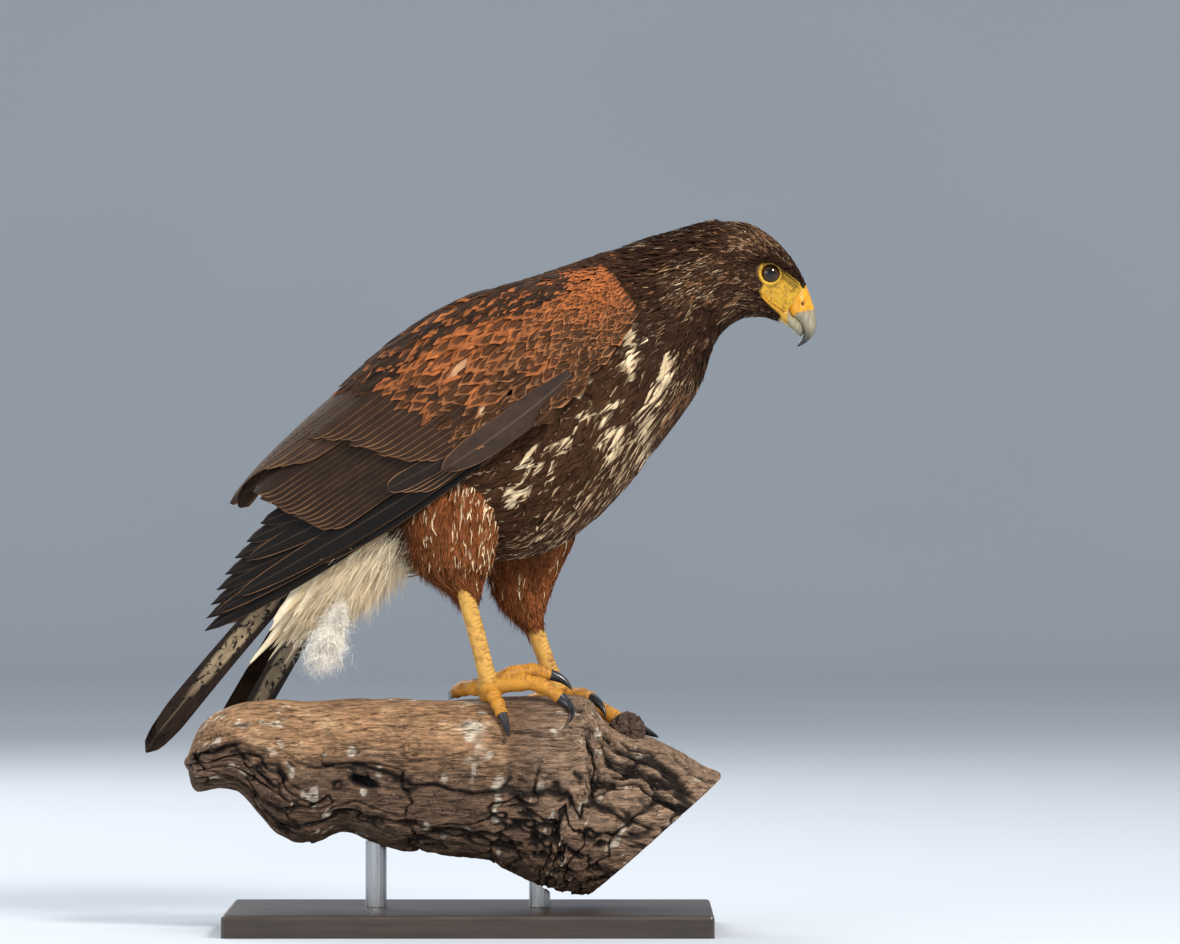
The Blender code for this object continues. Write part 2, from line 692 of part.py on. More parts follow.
def make_tail(torso, rng):
    """Twelve tail feathers in two stacks, the outer ones lowest."""
    sheet = tail_sheet()
    rings = []
    for along, half, thick in ((-18, 12, 6), (0, 15, 8), (20, 15, 8), (34, 12, 6), (44, 9, 3)):
        ring = []
        for k in range(12):
            t = 2 * math.pi * k / 12
            ring.append(sheet(along, half * math.cos(t), thick * math.sin(t) - 1.0))
        rings.append(ring)
    tail = loft("tail", rings, "flight")
    vanes = []
    for sign in (-1, 1):
        for i in range(6):
            spread = (i - 2.5) / 2.5
            angle = sign * (TAIL_GROUP_ANGLE + TAIL_FEATHER_ANGLE * spread)
            length = TAIL_LENGTH - 5.0 * abs(i - 1.5) + rng.uniform(-1.5, 1.5)
            root = (16.0, sign * (1.6 + 1.1 * i))
            tip = (length * math.cos(angle), length * math.sin(angle) + sign * 1.6)
            level = 3.6 - 1.15 * i - (0.4 if sign > 0 else 0.0)
            heights = (level, level)
            vanes.append(vane(sheet, root, tip, TAIL_FEATHER_HALF, heights, 0.0, 0.86, 0.35))
    boolean(tail, vanes, "UNION")
    boolean(tail, [swelled(torso)], "DIFFERENCE")
    return tail


def make_undertail(torso, rng):
    """The long loose feathers under the tail, over a core that reaches half their length."""
    tail_at = tail_sheet()
    clear = -14.0  # keeps them under the lowest tail feather

    def sheet(along, across, height):
        return tail_at(along, across, clear + height)

    rings = []
    for along, half, thick in ((0, 22, 20), (22, 25, 19), (45, 22, 14), (66, 16, 8), (80, 9, 3)):
        ring = []
        for k in range(14):
            t = 2 * math.pi * k / 14
            ring.append(sheet(along, half * math.cos(t), thick * (math.sin(t) - 1.0)))
        rings.append(ring)
    node = loft("undertail_coverts", rings, "down")
    vanes = []
    tiers = ((10, 70, -29, 15, 3), (20, 92, -21, 19, 4), (32, 112, -13, 17, 4), (46, 128, -5.5, 11, 3))
    for start, end, level, spread, count in tiers:
        for i in range(count):
            share = (i / (count - 1)) * 2 - 1
            root = (start, spread * 0.5 * share)
            tip = (end - 6 * share**2 + rng.uniform(-3, 3), spread * share)
            lift = level + 1.0 * (i % 2)
            fall = 5.0 * (1 - abs(share))
            low = (lift - fall, lift - fall)
            vanes.append(vane(sheet, root, tip, 9.5, low, 0.0, 0.7, 0.5, 5))
    boolean(node, vanes, "UNION")
    boolean(node, [swelled(torso)], "DIFFERENCE")
    return node


def make_thigh(side, sign, torso, tarsus):
    rings = []
    for rx, rz, fx, fz, half, out in smooth_rows(THIGH_ROWS[side], np.linspace(0, 5, 10)):
        front, rear = beside(fx, sign * out, fz), beside(rx, sign * out, rz)
        across = np.array((math.sin(BODY_YAW), math.cos(BODY_YAW), 0.0))
        centre, reach = (front + rear) / 2, (front - rear) / 2
        ring = []
        for k in range(16):
            c, s = superellipse(2 * math.pi * k / 16, 2.1)
            ring.append(centre + reach * c + across * half * s)
        rings.append(ring)
    thigh = loft("thigh_" + side, rings, "rufous")
    boolean(thigh, [swelled(torso), swelled(tarsus)], "DIFFERENCE")
    return thigh


def make_tarsus(side):
    path = TARSUS_PATHS[side]
    ys = np.linspace(*TARSUS_Y[side], len(path))
    points = [(x, y, z) for (x, z), y in zip(path, ys)]
    return tube("tarsus_" + side, points, TARSUS_RADII, "skin", 10)


def toe_line(side, number, count=7):
    """Points and radii along a toe, with its joints a little thicker."""
    path, radii = TOE_PATHS[side][number], TOE_RADII[number]
    places = np.linspace(0, len(path) - 1, count)
    sizes = smooth_rows([(r,) for r in radii], places)[:, 0]
    return smooth_rows(path, places), sizes * (1 + 0.07 * np.cos(np.arange(count) * math.pi))


def make_foot(side, perch, tarsus):
    toes = [tube("toe", *toe_line(side, number), "skin", 9) for number in range(4)]
    foot = toes[0]
    foot.name = "foot_" + side
    boolean(foot, [*toes[1:], ball("pad", BALLS[side], BALL_RADIUS, "skin")], "UNION")
    boolean(foot, [swelled(perch), swelled(tarsus)], "DIFFERENCE")
    return foot


def make_claw(side, number, perch):
    """A hooked claw from the flat end of its toe to its tip."""
    line, sizes = toe_line(side, number)
    forward = unit(line[-1] - line[-2])
    start = line[-1] + forward * (GAP + 0.05)
    tip = np.array(CLAW_TIPS[side][number])
    middle = start + forward * 0.62 * np.linalg.norm(tip - start)
    shares = np.linspace(0.0, 1.0, 7)
    points = [start * (1 - u) ** 2 + middle * 2 * u * (1 - u) + tip * u**2 for u in shares]
    radii = [sizes[-1] * CLAW_SHARE * (1 - u) ** 0.75 + 0.3 for u in shares]
    claw = tube("claw_" + side + "_" + str(number + 1), points, radii, "claw", 8, forward)
    boolean(claw, [swelled(perch)], "DIFFERENCE")
    return claw


def bark(s, t):
    """How much the limb's skin stands out at a place along it and an angle round it."""
    return (
        0.022 * math.sin(5 * t + 2.2 * math.sin(0.9 * s))
        + 0.018 * math.sin(8 * t + 1.7 * s)
        + 0.012 * math.sin(3 * t - 2.6 * s)
    )


def make_perch():
    places = np.linspace(0, len(PERCH_ROWS) - 1, 2 * len(PERCH_ROWS) - 1)
    rings = []
    for place, row in zip(places, smooth_rows(PERCH_ROWS, places)):
        top, low = np.array((row[0], 0.0, row[1])), np.array((row[2], 0.0, row[3]))
        centre, up = (top + low) / 2, (top - low) / 2
        ring = []
        for k in range(PERCH_SIDES):
            t = 2 * math.pi * k / PERCH_SIDES
            c, s = superellipse(t, PERCH_POWER)
            grow = 1 + bark(place, t) * (0.35 if c > 0.8 else 1.0)
            ring.append(centre + (up * c + np.array((0, row[4], 0)) * s) * grow)
        rings.append(ring)
    perch = loft("perch", rings, "wood")
    knob = ball("knob", (KNOB_X, KNOB_Y, KNOB_Z), KNOB_RADIUS, "wood")
    boolean(perch, [knob], "UNION")
    return perch


def make_base():
    mesh = bpy.data.meshes.new("stand_base")
    plate = bmesh.new()
    bmesh.ops.create_cube(plate, size=1.0)
    size = (BASE_LENGTH * MM, BASE_WIDTH * MM, BASE_THICK * MM)
    bmesh.ops.scale(plate, verts=plate.verts, vec=size)
    bmesh.ops.translate(plate, verts=plate.verts, vec=(0, 0, BASE_THICK * MM / 2))
    top = [e for e in plate.edges if all(v.co.z > BASE_THICK * MM / 2 for v in e.verts)]
    upright = [e for e in plate.edges if abs(e.verts[0].co.z - e.verts[1].co.z) > 1e-6]
    bmesh.ops.bevel(
        plate, geom=top + upright, offset=BASE_BEVEL * MM, segments=2, affect="EDGES", profile=0.5
    )
    plate.to_mesh(mesh)
    plate.free()
    mesh.materials.append(material("stand"))
    obj = bpy.data.objects.new("stand_base", mesh)
    bpy.context.scene.collection.objects.link(obj)
    return obj


def make_rod(name, place, perch):
    x, y, top = place
    path = [(x, y, BASE_THICK + GAP), (x, y, top)]
    rod = tube(name, path, (ROD_RADIUS, ROD_RADIUS), "stand", 16)
    boolean(rod, [swelled(perch)], "DIFFERENCE")
    return rod


def main():
    for obj in list(bpy.data.objects):
        bpy.data.objects.remove(obj)
    rng = random.Random(SEED)
    torso = make_torso()
    nodes = [torso, make_neck()]
    eyes = [make_eye("right", -1), make_eye("left", 1)]
    nodes += [make_head(eyes), *eyes, *make_bill()]
    perch = make_perch()
    nodes += [perch, make_tail(torso, rng), make_undertail(torso, rng)]
    for side, sign in (("right", -1), ("left", 1)):
        tarsus = make_tarsus(side)
        nodes += [make_wing(side, sign, torso, rng), make_thigh(side, sign, torso, tarsus), tarsus]
        nodes.append(make_foot(side, perch, tarsus))
        nodes += [make_claw(side, number, perch) for number in range(4)]
    nodes.append(make_base())
    nodes += [make_rod(name, place, perch) for name, place in ROD_PLACES.items()]
    for node in nodes:
        shade(node)


main()
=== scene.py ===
"""The looks of a young harris hawk that stands on a cut length of dead branch.

One skin with a dense coat of real mesh feathers takes the place of the flesh nodes. Lengths are
in millimetres, in the frame's own axes, until a mesh is made from them in metres. Most pieces are
laid out on a surface: a function from places (N, 2) to points (N, 3).
"""

import itertools
import math

import bpy
import numpy as np
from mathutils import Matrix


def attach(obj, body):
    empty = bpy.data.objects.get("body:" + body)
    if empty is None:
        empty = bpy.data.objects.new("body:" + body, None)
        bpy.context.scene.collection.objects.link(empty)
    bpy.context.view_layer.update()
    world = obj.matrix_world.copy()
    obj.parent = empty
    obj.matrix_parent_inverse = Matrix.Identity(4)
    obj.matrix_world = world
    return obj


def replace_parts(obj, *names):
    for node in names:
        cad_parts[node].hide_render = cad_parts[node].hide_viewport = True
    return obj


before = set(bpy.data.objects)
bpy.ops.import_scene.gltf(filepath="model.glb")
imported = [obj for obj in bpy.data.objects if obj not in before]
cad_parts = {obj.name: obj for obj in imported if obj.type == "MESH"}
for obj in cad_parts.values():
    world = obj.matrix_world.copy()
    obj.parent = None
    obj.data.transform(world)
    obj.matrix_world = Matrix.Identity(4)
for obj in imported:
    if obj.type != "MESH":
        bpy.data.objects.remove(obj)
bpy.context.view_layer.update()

MM = 0.001
SEED = 11

# The body, repeated from the solids: upper point, lower point and half width, rump to face.
BODY_YAW = math.radians(16.0)
YAW_ORIGIN_X = 20.0
NECK_TURN_START, NECK_TURN_END = 118.0, 168.0
BODY_ROWS = (
    (-64.7, 297.0, -44.9, 257.4, 24.0),
    (-73.9, 328.7, -25.1, 238.0, 38.0),
    (-56.1, 374.0, 13.2, 242.9, 46.0),
    (-19.8, 408.0, 54.8, 252.1, 53.0),
    (19.8, 424.0, 93.7, 283.8, 55.0),
    (51.5, 433.5, 122.1, 320.1, 51.0),
    (79.2, 443.0, 143.9, 348.5, 45.0),
    (99.0, 449.0, 153.1, 366.3, 38.0),
    (122.1, 455.0, 157.7, 379.5, 32.0),
    (139.9, 460.0, 163.7, 392.0, 28.5),
    (155.1, 464.0, 173.6, 400.6, 27.0),
    (170.3, 466.3, 181.5, 403.6, 27.0),
    (184.2, 464.6, 188.1, 404.2, 25.0),
    (197.0, 457.2, 193.4, 403.9, 20.8),
    (208.2, 446.2, 197.3, 402.9, 16.6),
    (215.8, 435.2, 200.6, 401.9, 12.5),
    (221.4, 423.4, 203.3, 401.0, 8.8),
)
HEAD_ROW, FACE_ROW = 10.2, 16.0
BODY_POWER = 2.15

EYE_X, EYE_Z, EYE_OUT, EYE_RADIUS = 197.0, 432.0, 14.9, 8.2
PUPIL_RADIUS, IRIS_RADIUS = 3.1, 5.9
NOSTRIL_X, NOSTRIL_Z = 218.4, 412.4
BILL_SPLIT = 0.70
UPPER_BILL_ROWS = (
    (224.4, 413.8, 211.0, 404.4, 7.9),
    (226.4, 407.6, 214.0, 402.2, 7.2),
    (227.7, 401.3, 216.8, 399.3, 6.2),
    (227.0, 395.3, 218.6, 396.0, 5.0),
    (224.7, 390.8, 219.2, 392.7, 3.6),
    (221.1, 387.2, 218.0, 389.6, 2.2),
    (215.6, 384.2, 215.0, 385.2, 0.5),
)
LOWER_BILL_ROWS = (
    (211.6, 405.4, 206.6, 399.3, 6.6),
    (214.8, 403.1, 210.2, 396.0, 5.8),
    (217.6, 400.2, 213.8, 393.2, 4.6),
    (219.2, 396.6, 216.0, 391.8, 3.2),
    (219.4, 393.3, 217.2, 391.2, 1.2),
)
# The face's bare yellow skin, and lines on the face, all seen from the side as (x, z).
BARE_SKIN = (
    (190.6, 419.4), (192.6, 424.4), (189.6, 429.5), (189.2, 433.5), (191.4, 438.2),
    (196.4, 440.8), (203.4, 435.2), (210.1, 430.4), (216.9, 425.2), (219.5, 421.8),
    (224.5, 422.0), (230.0, 408.0), (212.0, 398.0), (207.0, 401.2), (201.5, 406.2),
    (196.3, 410.6), (191.2, 416.0),
)
BROW_LINE = (
    (186.0, 439.6), (191.5, 442.4), (197.0, 442.4), (203.8, 437.6), (210.4, 432.6),
    (217.0, 427.4), (220.6, 423.6),
)
GAPE_LINE = ((190.8, 418.6), (197.2, 413.2), (204.0, 408.2), (209.6, 404.2), (213.0, 402.6))
CERE_EDGE_X = (205.0, 211.5, 215.5, 226.0, 232.0)
CERE_EDGE_Z = (401.5, 403.7, 406.6, 408.6, 410.0)

# The folded wing's sheet: a runs from the wrist to the tip, b up from that line.
WRIST_X, WRIST_Z = 100.0, 399.0
WING_SLOPE = math.radians(35.9)
FAR_WING_LIFT = math.radians(1.2)
FAR_WING_SHIFT = 6.0
SHEET_STATIONS = (-20.0, 30.0, 70.0, 120.0, 170.0, 230.0, 290.0, 350.0)
SHEET_LOW = (4.0, -10.0, -15.0, -17.0, -16.0, -9.0, -5.0, -2.0)
SHEET_HIGH = (34.0, 58.0, 76.0, 81.0, 77.0, 70.0, 56.0, 34.0)
SHEET_SIDE = (44.0, 57.0, 64.0, 66.5, 63.0, 54.5, 48.0, 43.0)
SHEET_CREST = (34.0, 28.0, 22.0, 18.0, 15.0, 14.0, 18.0, 25.0)
CREST_START = 0.96

TAIL_ROOT_X, TAIL_ROOT_Z = -61.0, 290.0
TAIL_SLOPE = math.radians(53.5)
TAIL_ROLL = math.radians(26.0)
TAIL_LENGTH = 236.0
TAIL_GROUP_ANGLE = math.radians(8.0)
TAIL_FEATHER_ANGLE = math.radians(1.3)
TAIL_FEATHER_HALF = 12.5
UNDERTAIL_DROP = -14.0

# Rear point, front point, half thickness and the distance out from the body's middle plane.
THIGH_ROWS = {
    -1: (
        (-32.0, 308.0, 22.0, 304.0, 15.0, 31.0),
        (-41.0, 277.0, 21.0, 276.0, 18.0, 33.0),
        (-38.0, 252.0, 16.0, 250.0, 16.0, 33.0),
        (-31.0, 236.0, 11.0, 236.0, 12.0, 31.0),
        (-15.0, 224.0, 8.0, 226.0, 8.5, 28.5),
        (-6.5, 216.0, 6.0, 218.5, 6.6, 27.0),
    ),
    1: (
        (2.0, 288.0, 70.0, 280.0, 15.0, 31.0),
        (4.0, 262.0, 68.0, 258.0, 18.0, 33.0),
        (11.0, 238.0, 58.0, 236.0, 15.5, 33.0),
        (17.0, 219.0, 51.5, 219.0, 11.5, 32.0),
        (26.5, 207.0, 48.5, 208.0, 8.0, 31.0),
        (36.0, 199.0, 48.0, 201.5, 6.4, 30.0),
    ),
}
SIDES = {-1: "right", 1: "left"}
TARSUS_RADII = (4.8, 5.6, 5.7, 5.6, 6.1, 7.0)
TARSUS_PATHS = {
    -1: ((-4.5, 228.0), (-1.2, 217.0), (4.3, 197.3), (9.4, 177.0), (11.6, 168.0), (12.6, 162.0)),
    1: ((38.5, 212.0), (42.0, 201.0), (46.0, 188.5), (51.2, 174.0), (55.5, 163.0), (57.5, 156.0)),
}
TARSUS_Y = {-1: (-27.0, -22.0), 1: (27.0, 24.0)}
TOE_PATHS = {
    -1: (
        ((12.0, -20.0, 161.0), (4.0, -13.0, 160.5), (-4.0, -3.0, 159.5), (-9.0, 8.0, 157.0)),
        ((15.0, -20.0, 162.5), (28.0, -15.0, 169.0), (41.0, -11.0, 171.0), (52.0, -8.0, 169.0)),
        ((15.0, -22.0, 161.5), (33.0, -23.0, 164.0), (47.0, -24.0, 162.0), (59.0, -26.0, 154.6)),
        ((13.0, -24.0, 160.0), (16.0, -30.0, 155.0), (18.8, -34.5, 149.8), (21.5, -38.5, 143.5)),
    ),
    1: (
        ((56.0, 24.0, 153.0), (48.0, 27.0, 152.0), (40.0, 31.5, 149.0), (33.0, 37.0, 143.0)),
        ((58.0, 22.0, 154.0), (66.0, 18.0, 154.0), (74.0, 12.0, 154.0), (80.0, 6.0, 152.4)),
        ((60.0, 24.0, 154.0), (77.0, 22.0, 150.5), (94.0, 17.0, 140.5), (108.0, 11.0, 134.5)),
        ((58.0, 27.0, 152.0), (64.0, 34.5, 146.5), (69.0, 40.5, 139.0), (73.0, 45.0, 130.5)),
    ),
}
TOE_RADII = (
    (6.6, 5.4, 5.0, 4.2),
    (6.6, 5.6, 5.2, 4.3),
    (6.8, 5.6, 5.0, 4.2),
    (6.4, 5.0, 4.7, 4.0),
)
BALL_RADIUS = 7.6
BALLS = {-1: (12.8, -20.5, 158.0), 1: (57.5, 23.5, 152.5)}
CLAW_TIPS = {
    -1: ((-14.5, 32.0, 149.0), (67.5, -12.0, 158.5), (64.5, -47.0, 138.0), (26.5, -51.0, 129.0)),
    1: ((25.0, 53.0, 128.0), (89.5, -5.0, 140.0), (124.5, 2.0, 127.0), (79.0, 57.0, 113.0)),
}

PERCH_ROWS = (
    (-186.5, 115.0, -186.5, 106.0, 9.0),
    (-176.2, 137.3, -180.2, 93.7, 28.0),
    (-155.1, 149.0, -153.1, 91.1, 37.0),
    (-128.7, 153.0, -127.4, 62.7, 42.0),
    (-105.6, 151.5, -104.3, 57.4, 44.0),
    (-79.2, 153.0, -82.5, 64.7, 45.0),
    (-46.2, 153.4, -49.5, 54.1, 46.0),
    (-13.2, 152.6, -19.8, 50.8, 47.0),
    (19.8, 155.0, 5.3, 46.2, 50.0),
    (52.8, 156.0, 27.7, 37.0, 50.0),
    (77.5, 154.6, 42.9, 30.5, 50.0),
    (90.0, 138.5, 50.5, 27.0, 50.0),
    (108.9, 131.5, 57.1, 25.0, 50.0),
    (135.3, 118.8, 67.3, 23.8, 49.0),
    (166.3, 101.6, 77.9, 23.1, 47.0),
)
PERCH_POWER = 2.4
KNOB_X, KNOB_Y, KNOB_Z, KNOB_RADIUS = 103.5, -10.0, 132.0, 12.5

# The camera sees the photo's frame: 0.66 mm for each of its 1180 by 944 pixels.
PHOTO_WIDTH_MM = 779.0
VIEW_X, VIEW_Z = 79.2, 302.3
CAMERA_DISTANCE_MM = 5000.0
SENSOR_MM = 36.0


def srgb(red, green, blue):
    """A colour as seen on screen, from 0 to 255, in the linear values that shaders take."""
    seen = np.array((red, green, blue), float) / 255.0
    return np.where(seen <= 0.04045, seen / 12.92, ((seen + 0.055) / 1.055) ** 2.4)


DARK_BROWN = srgb(60, 38, 23)
CHOCOLATE = srgb(50, 32, 21)
BLACK_BROWN = srgb(32, 23, 18)
GREY_BROWN = srgb(80, 58, 43)
RUFOUS = srgb(150, 86, 46)
DEEP_RUFOUS = srgb(104, 58, 32)
TAN = srgb(172, 124, 84)
TAWNY = srgb(146, 104, 72)
CREAM = srgb(226, 204, 166)
WHITE_DOWN = srgb(240, 224, 192)
BUFF = srgb(176, 156, 124)
YELLOW = srgb(204, 156, 36)
ORANGE_YELLOW = srgb(218, 152, 24)
LEG_YELLOW = srgb(226, 172, 80)
TOE_YELLOW = srgb(212, 146, 44)
LEG_BROWN = srgb(104, 58, 28)
BILL_GREY = srgb(150, 140, 116)
BILL_BLACK = srgb(24, 24, 26)


# Numbers: tables read on smooth curves, noise, and distances to lines on the face.


def unit(v):
    """Vectors brought to length one."""
    return v / np.maximum(np.linalg.norm(v, axis=-1, keepdims=True), 1e-9)


def rows_at(rows, places):
    """Rows of a table at fractional places, on a curve through every row."""
    rows = np.asarray(rows, float)
    padded = np.vstack([2 * rows[0] - rows[1], rows, 2 * rows[-1] - rows[-2]])
    places = np.asarray(places, float)
    i = np.clip(np.floor(places).astype(int), 0, len(rows) - 2)
    t = (places - i)[..., None]
    p0, p1, p2, p3 = padded[i], padded[i + 1], padded[i + 2], padded[i + 3]
    return 0.5 * (
        2 * p1
        + (p2 - p0) * t
        + (2 * p0 - 5 * p1 + 4 * p2 - p3) * t**2
        + (3 * p1 - p0 - 3 * p2 + p3) * t**3
    )


def superellipse(turn, power):
    """Two arrays: the point at each turn (0 to 1) of a rounded box of half sides 1."""
    c, s = np.cos(2 * np.pi * turn), np.sin(2 * np.pi * turn)
    return np.sign(c) * np.abs(c) ** (2 / power), np.sign(s) * np.abs(s) ** (2 / power)


def ease(x, start, end):
    """0 before start, 1 after end, and smooth between them."""
    t = np.clip((x - start) / (end - start), 0.0, 1.0)
    return t * t * (3 - 2 * t)


def noise(points, size, seed=0):
    """Smooth noise from -1 to 1 whose bumps are about size wide."""
    q = np.asarray(points, float) / size
    cell = np.floor(q).astype(np.int64)
    part = q - cell
    part = part * part * (3 - 2 * part)
    total = np.zeros(q.shape[:-1])
    for corner in itertools.product((0, 1), repeat=3):
        c = cell + np.array(corner)
        mixed = (c[..., 0] * 73856093) ^ (c[..., 1] * 19349663) ^ (c[..., 2] * 83492791)
        mixed = (mixed ^ (seed * 2654435)) & 0xFFFFFFFF
        mixed = ((mixed ^ (mixed >> 15)) * 2246822519) & 0xFFFFFFFF
        mixed = ((mixed ^ (mixed >> 13)) * 3266489917) & 0xFFFFFFFF
        value = ((mixed ^ (mixed >> 16)) & 0xFFFF) / 32767.5 - 1
        weight = np.prod(np.where(np.array(corner) == 1, part, 1 - part), axis=-1)
        total += value * weight
    return total


def fractal(points, size, seed=0, octaves=4):
    """Noise with finer layers added, each half as wide and half as strong."""
    total = 0.0
    for k in range(octaves):
        total = total + noise(points, size / 2**k, seed + k) / 2**k
    return total / 1.6


def line_distance(xz, line):
    """How far each (x, z) is from a line of points, and whether it lies above it."""
    best = np.full(len(xz), 1e9)
    above = np.zeros(len(xz), bool)
    for start, end in zip(np.array(line[:-1]), np.array(line[1:])):
        along = end - start
        part = np.clip(((xz - start) @ along) / (along @ along), 0, 1)
        offset = xz - (start + part[:, None] * along)
        far = np.linalg.norm(offset, axis=1)
        nearer = far < best
        best = np.where(nearer, far, best)
        above = np.where(nearer, offset[:, 1] > 0, above)
    return best, above


def inside_distance(xz, outline):
    """How far inside a closed outline each (x, z) lies; negative outside it."""
    corners = np.array(outline)
    far, _ = line_distance(xz, np.vstack([corners, corners[:1]]))
    inside = np.zeros(len(xz), bool)
    for (ax, az), (bx, bz) in zip(corners, np.roll(corners, -1, axis=0)):
        crosses = (az > xz[:, 1]) != (bz > xz[:, 1])
        at = (bx - ax) * (xz[:, 1] - az) / (bz - az + 1e-12) + ax
        inside ^= crosses & (xz[:, 0] < at)
    return np.where(inside, far, -far)


# Surfaces: the body, the folded wings, the tail and the thighs.


def body_yaw(x):
    """How far the body is turned at x; the turn fades out along the neck."""
    return BODY_YAW * (1 - np.clip((x - NECK_TURN_START) / (NECK_TURN_END - NECK_TURN_START), 0, 1))


def middle_y(x):
    """The bird's middle plane: its y at each x."""
    turn = NECK_TURN_END - NECK_TURN_START
    part = np.clip(x - NECK_TURN_START, 0, turn)
    return -math.tan(BODY_YAW) * (
        np.minimum(x, NECK_TURN_START) - YAW_ORIGIN_X + part - part**2 / (2 * turn)
    )


def beside(x, out, z):
    """The point seen at (x, z) from the bird's right, out to its left by so much."""
    middle_x = x - out * math.sin(BODY_YAW)
    return np.stack([x + 0 * z, middle_y(middle_x) + out * math.cos(BODY_YAW), z + 0 * x], -1)


def ring_point(row, turn, power, depth=0.0):
    """A point of a section from its row of upper point, lower point and half width."""
    top = np.stack([row[..., 0], middle_y(row[..., 0]), row[..., 1]], -1)
    low = np.stack([row[..., 2], middle_y(row[..., 2]), row[..., 3]], -1)
    yaw = body_yaw((row[..., 0] + row[..., 2]) / 2)
    across = np.stack([np.sin(yaw), np.cos(yaw), 0 * yaw], -1)
    c, s = superellipse(turn, power)
    centre, up = (top + low) / 2, (top - low) / 2
    reach = np.linalg.norm(up, axis=-1)
    shrunk = np.clip(1 - depth / reach, 0.02, None)
    return (
        centre
        + up * (shrunk * c)[..., None]
        + across * (np.maximum(row[..., 4] - depth, 0.3) * s)[..., None]
    )


def body_surface(p, depth=0.0):
    """The coat's outer face. Places are (row from rump to face, turn from the back round)."""
    return ring_point(rows_at(BODY_ROWS, np.clip(p[:, 0], 0, FACE_ROW)), p[:, 1], BODY_POWER, depth)


def wing_surface(sign):
    """The outer face of a folded wing, on places (a, b)."""
    slope = WING_SLOPE - (FAR_WING_LIFT if sign > 0 else 0.0)
    shift = FAR_WING_SHIFT if sign > 0 else 0.0

    def surface(p):
        a, b = p[:, 0], p[:, 1]
        stations = np.interp(a, SHEET_STATIONS, range(len(SHEET_STATIONS)))
        table = np.stack([SHEET_LOW, SHEET_HIGH, SHEET_SIDE, SHEET_CREST], 1)
        low, high, side, crest = rows_at(table, stations).T
        turn = np.arcsin(np.clip((b - low) / (high - low), 0.0, CREST_START))
        turn = turn + np.maximum(b - low - CREST_START * (high - low), 0.0) / (side - crest)
        out = crest + (side - crest) * np.cos(turn)
        b = np.where(b > low, low + (high - low) * np.sin(turn), b)
        x = WRIST_X - (a + shift) * math.cos(slope) - b * math.sin(slope)
        z = WRIST_Z - (a + shift) * math.sin(slope) + b * math.cos(slope)
        if sign > 0:
            x = x + 2 * out * math.sin(BODY_YAW)
        return beside(x, sign * out, z)

    return surface


def sheet_limits(a):
    """The lowest and highest b of the wing's sheet at each a."""
    stations = np.interp(a, SHEET_STATIONS, range(len(SHEET_STATIONS)))
    return rows_at(np.stack([SHEET_LOW, SHEET_HIGH], 1), stations).T


def tail_axes():
    root = np.array((TAIL_ROOT_X, float(middle_y(TAIL_ROOT_X)), TAIL_ROOT_Z))
    level = np.array((-1.0, math.tan(BODY_YAW), 0.0))
    back = unit(level * math.cos(TAIL_SLOPE) - np.array((0, 0, 1)) * math.sin(TAIL_SLOPE))
    left = np.array((math.sin(BODY_YAW), math.cos(BODY_YAW), 0.0))
    up = unit(np.cross(left, back))
    up = up if up[2] > 0 else -up
    rolled = left * math.cos(TAIL_ROLL) - up * math.sin(TAIL_ROLL)
    return root, back, rolled, unit(up * math.cos(TAIL_ROLL) + left * math.sin(TAIL_ROLL))


def tail_surface(level=0.0):
    """The tail's sheet, on places (along, across), raised by level."""
    root, back, left, up = tail_axes()

    def surface(p):
        along, across = p[:, 0], p[:, 1]
        droop = -4.0 * np.sin(np.pi * np.maximum(along, 0.0) / TAIL_LENGTH)
        return root + np.outer(along, back) + np.outer(across, left) + np.outer(level - droop, up)

    return surface


def thigh_surface(sign, depth=0.0):
    """A thigh's outer face, on places (row from the top down, turn from the front round)."""

    def surface(p):
        row = rows_at(THIGH_ROWS[sign], np.clip(p[:, 0], 0, 5))
        rear = beside(row[:, 0], sign * row[:, 5], row[:, 1])
        front = beside(row[:, 2], sign * row[:, 5], row[:, 3])
        across = np.array((math.sin(BODY_YAW), math.cos(BODY_YAW), 0.0))
        centre, reach = (front + rear) / 2, (front - rear) / 2
        size = np.linalg.norm(reach, axis=1)
        c, s = superellipse(p[:, 1], 2.1)
        return (
            centre
            + reach * (c * np.clip(1 - depth / size, 0.1, None))[:, None]
            + across * (np.maximum(row[:, 4] - depth, 1.0) * s)[:, None]
        )

    return surface


# How far to step along a place when the slope of a surface is measured.
ROW_STEPS, SHEET_STEPS = (0.02, 0.002), (0.5, 0.5)
# A feather's points keep between these places.
BODY_BOUNDS = ((0.0, -9.0), (FACE_ROW, 9.0))
WING_BOUNDS = ((-19.0, -30.0), (349.0, 120.0))


def slopes(surface, p, steps):
    """The two directions in which a surface runs at p, per unit of each place."""
    du, dv = np.array((steps[0], 0.0)), np.array((0.0, steps[1]))
    return (
        (surface(p + du) - surface(p - du)) / (2 * steps[0]),
        (surface(p + dv) - surface(p - dv)) / (2 * steps[1]),
    )


# The head's relief over the body's surface: brow, socket, lores and the line of the mouth.

BROW_RISE, BROW_WIDTH = 2.4, 2.9
SOCKET_DEPTH = 5.0
GAPE_RISE, GAPE_GROOVE = 0.75, 1.0


def seen(points):
    """The points as (x, z), as the photo's camera sees them."""
    return points[:, [0, 2]]


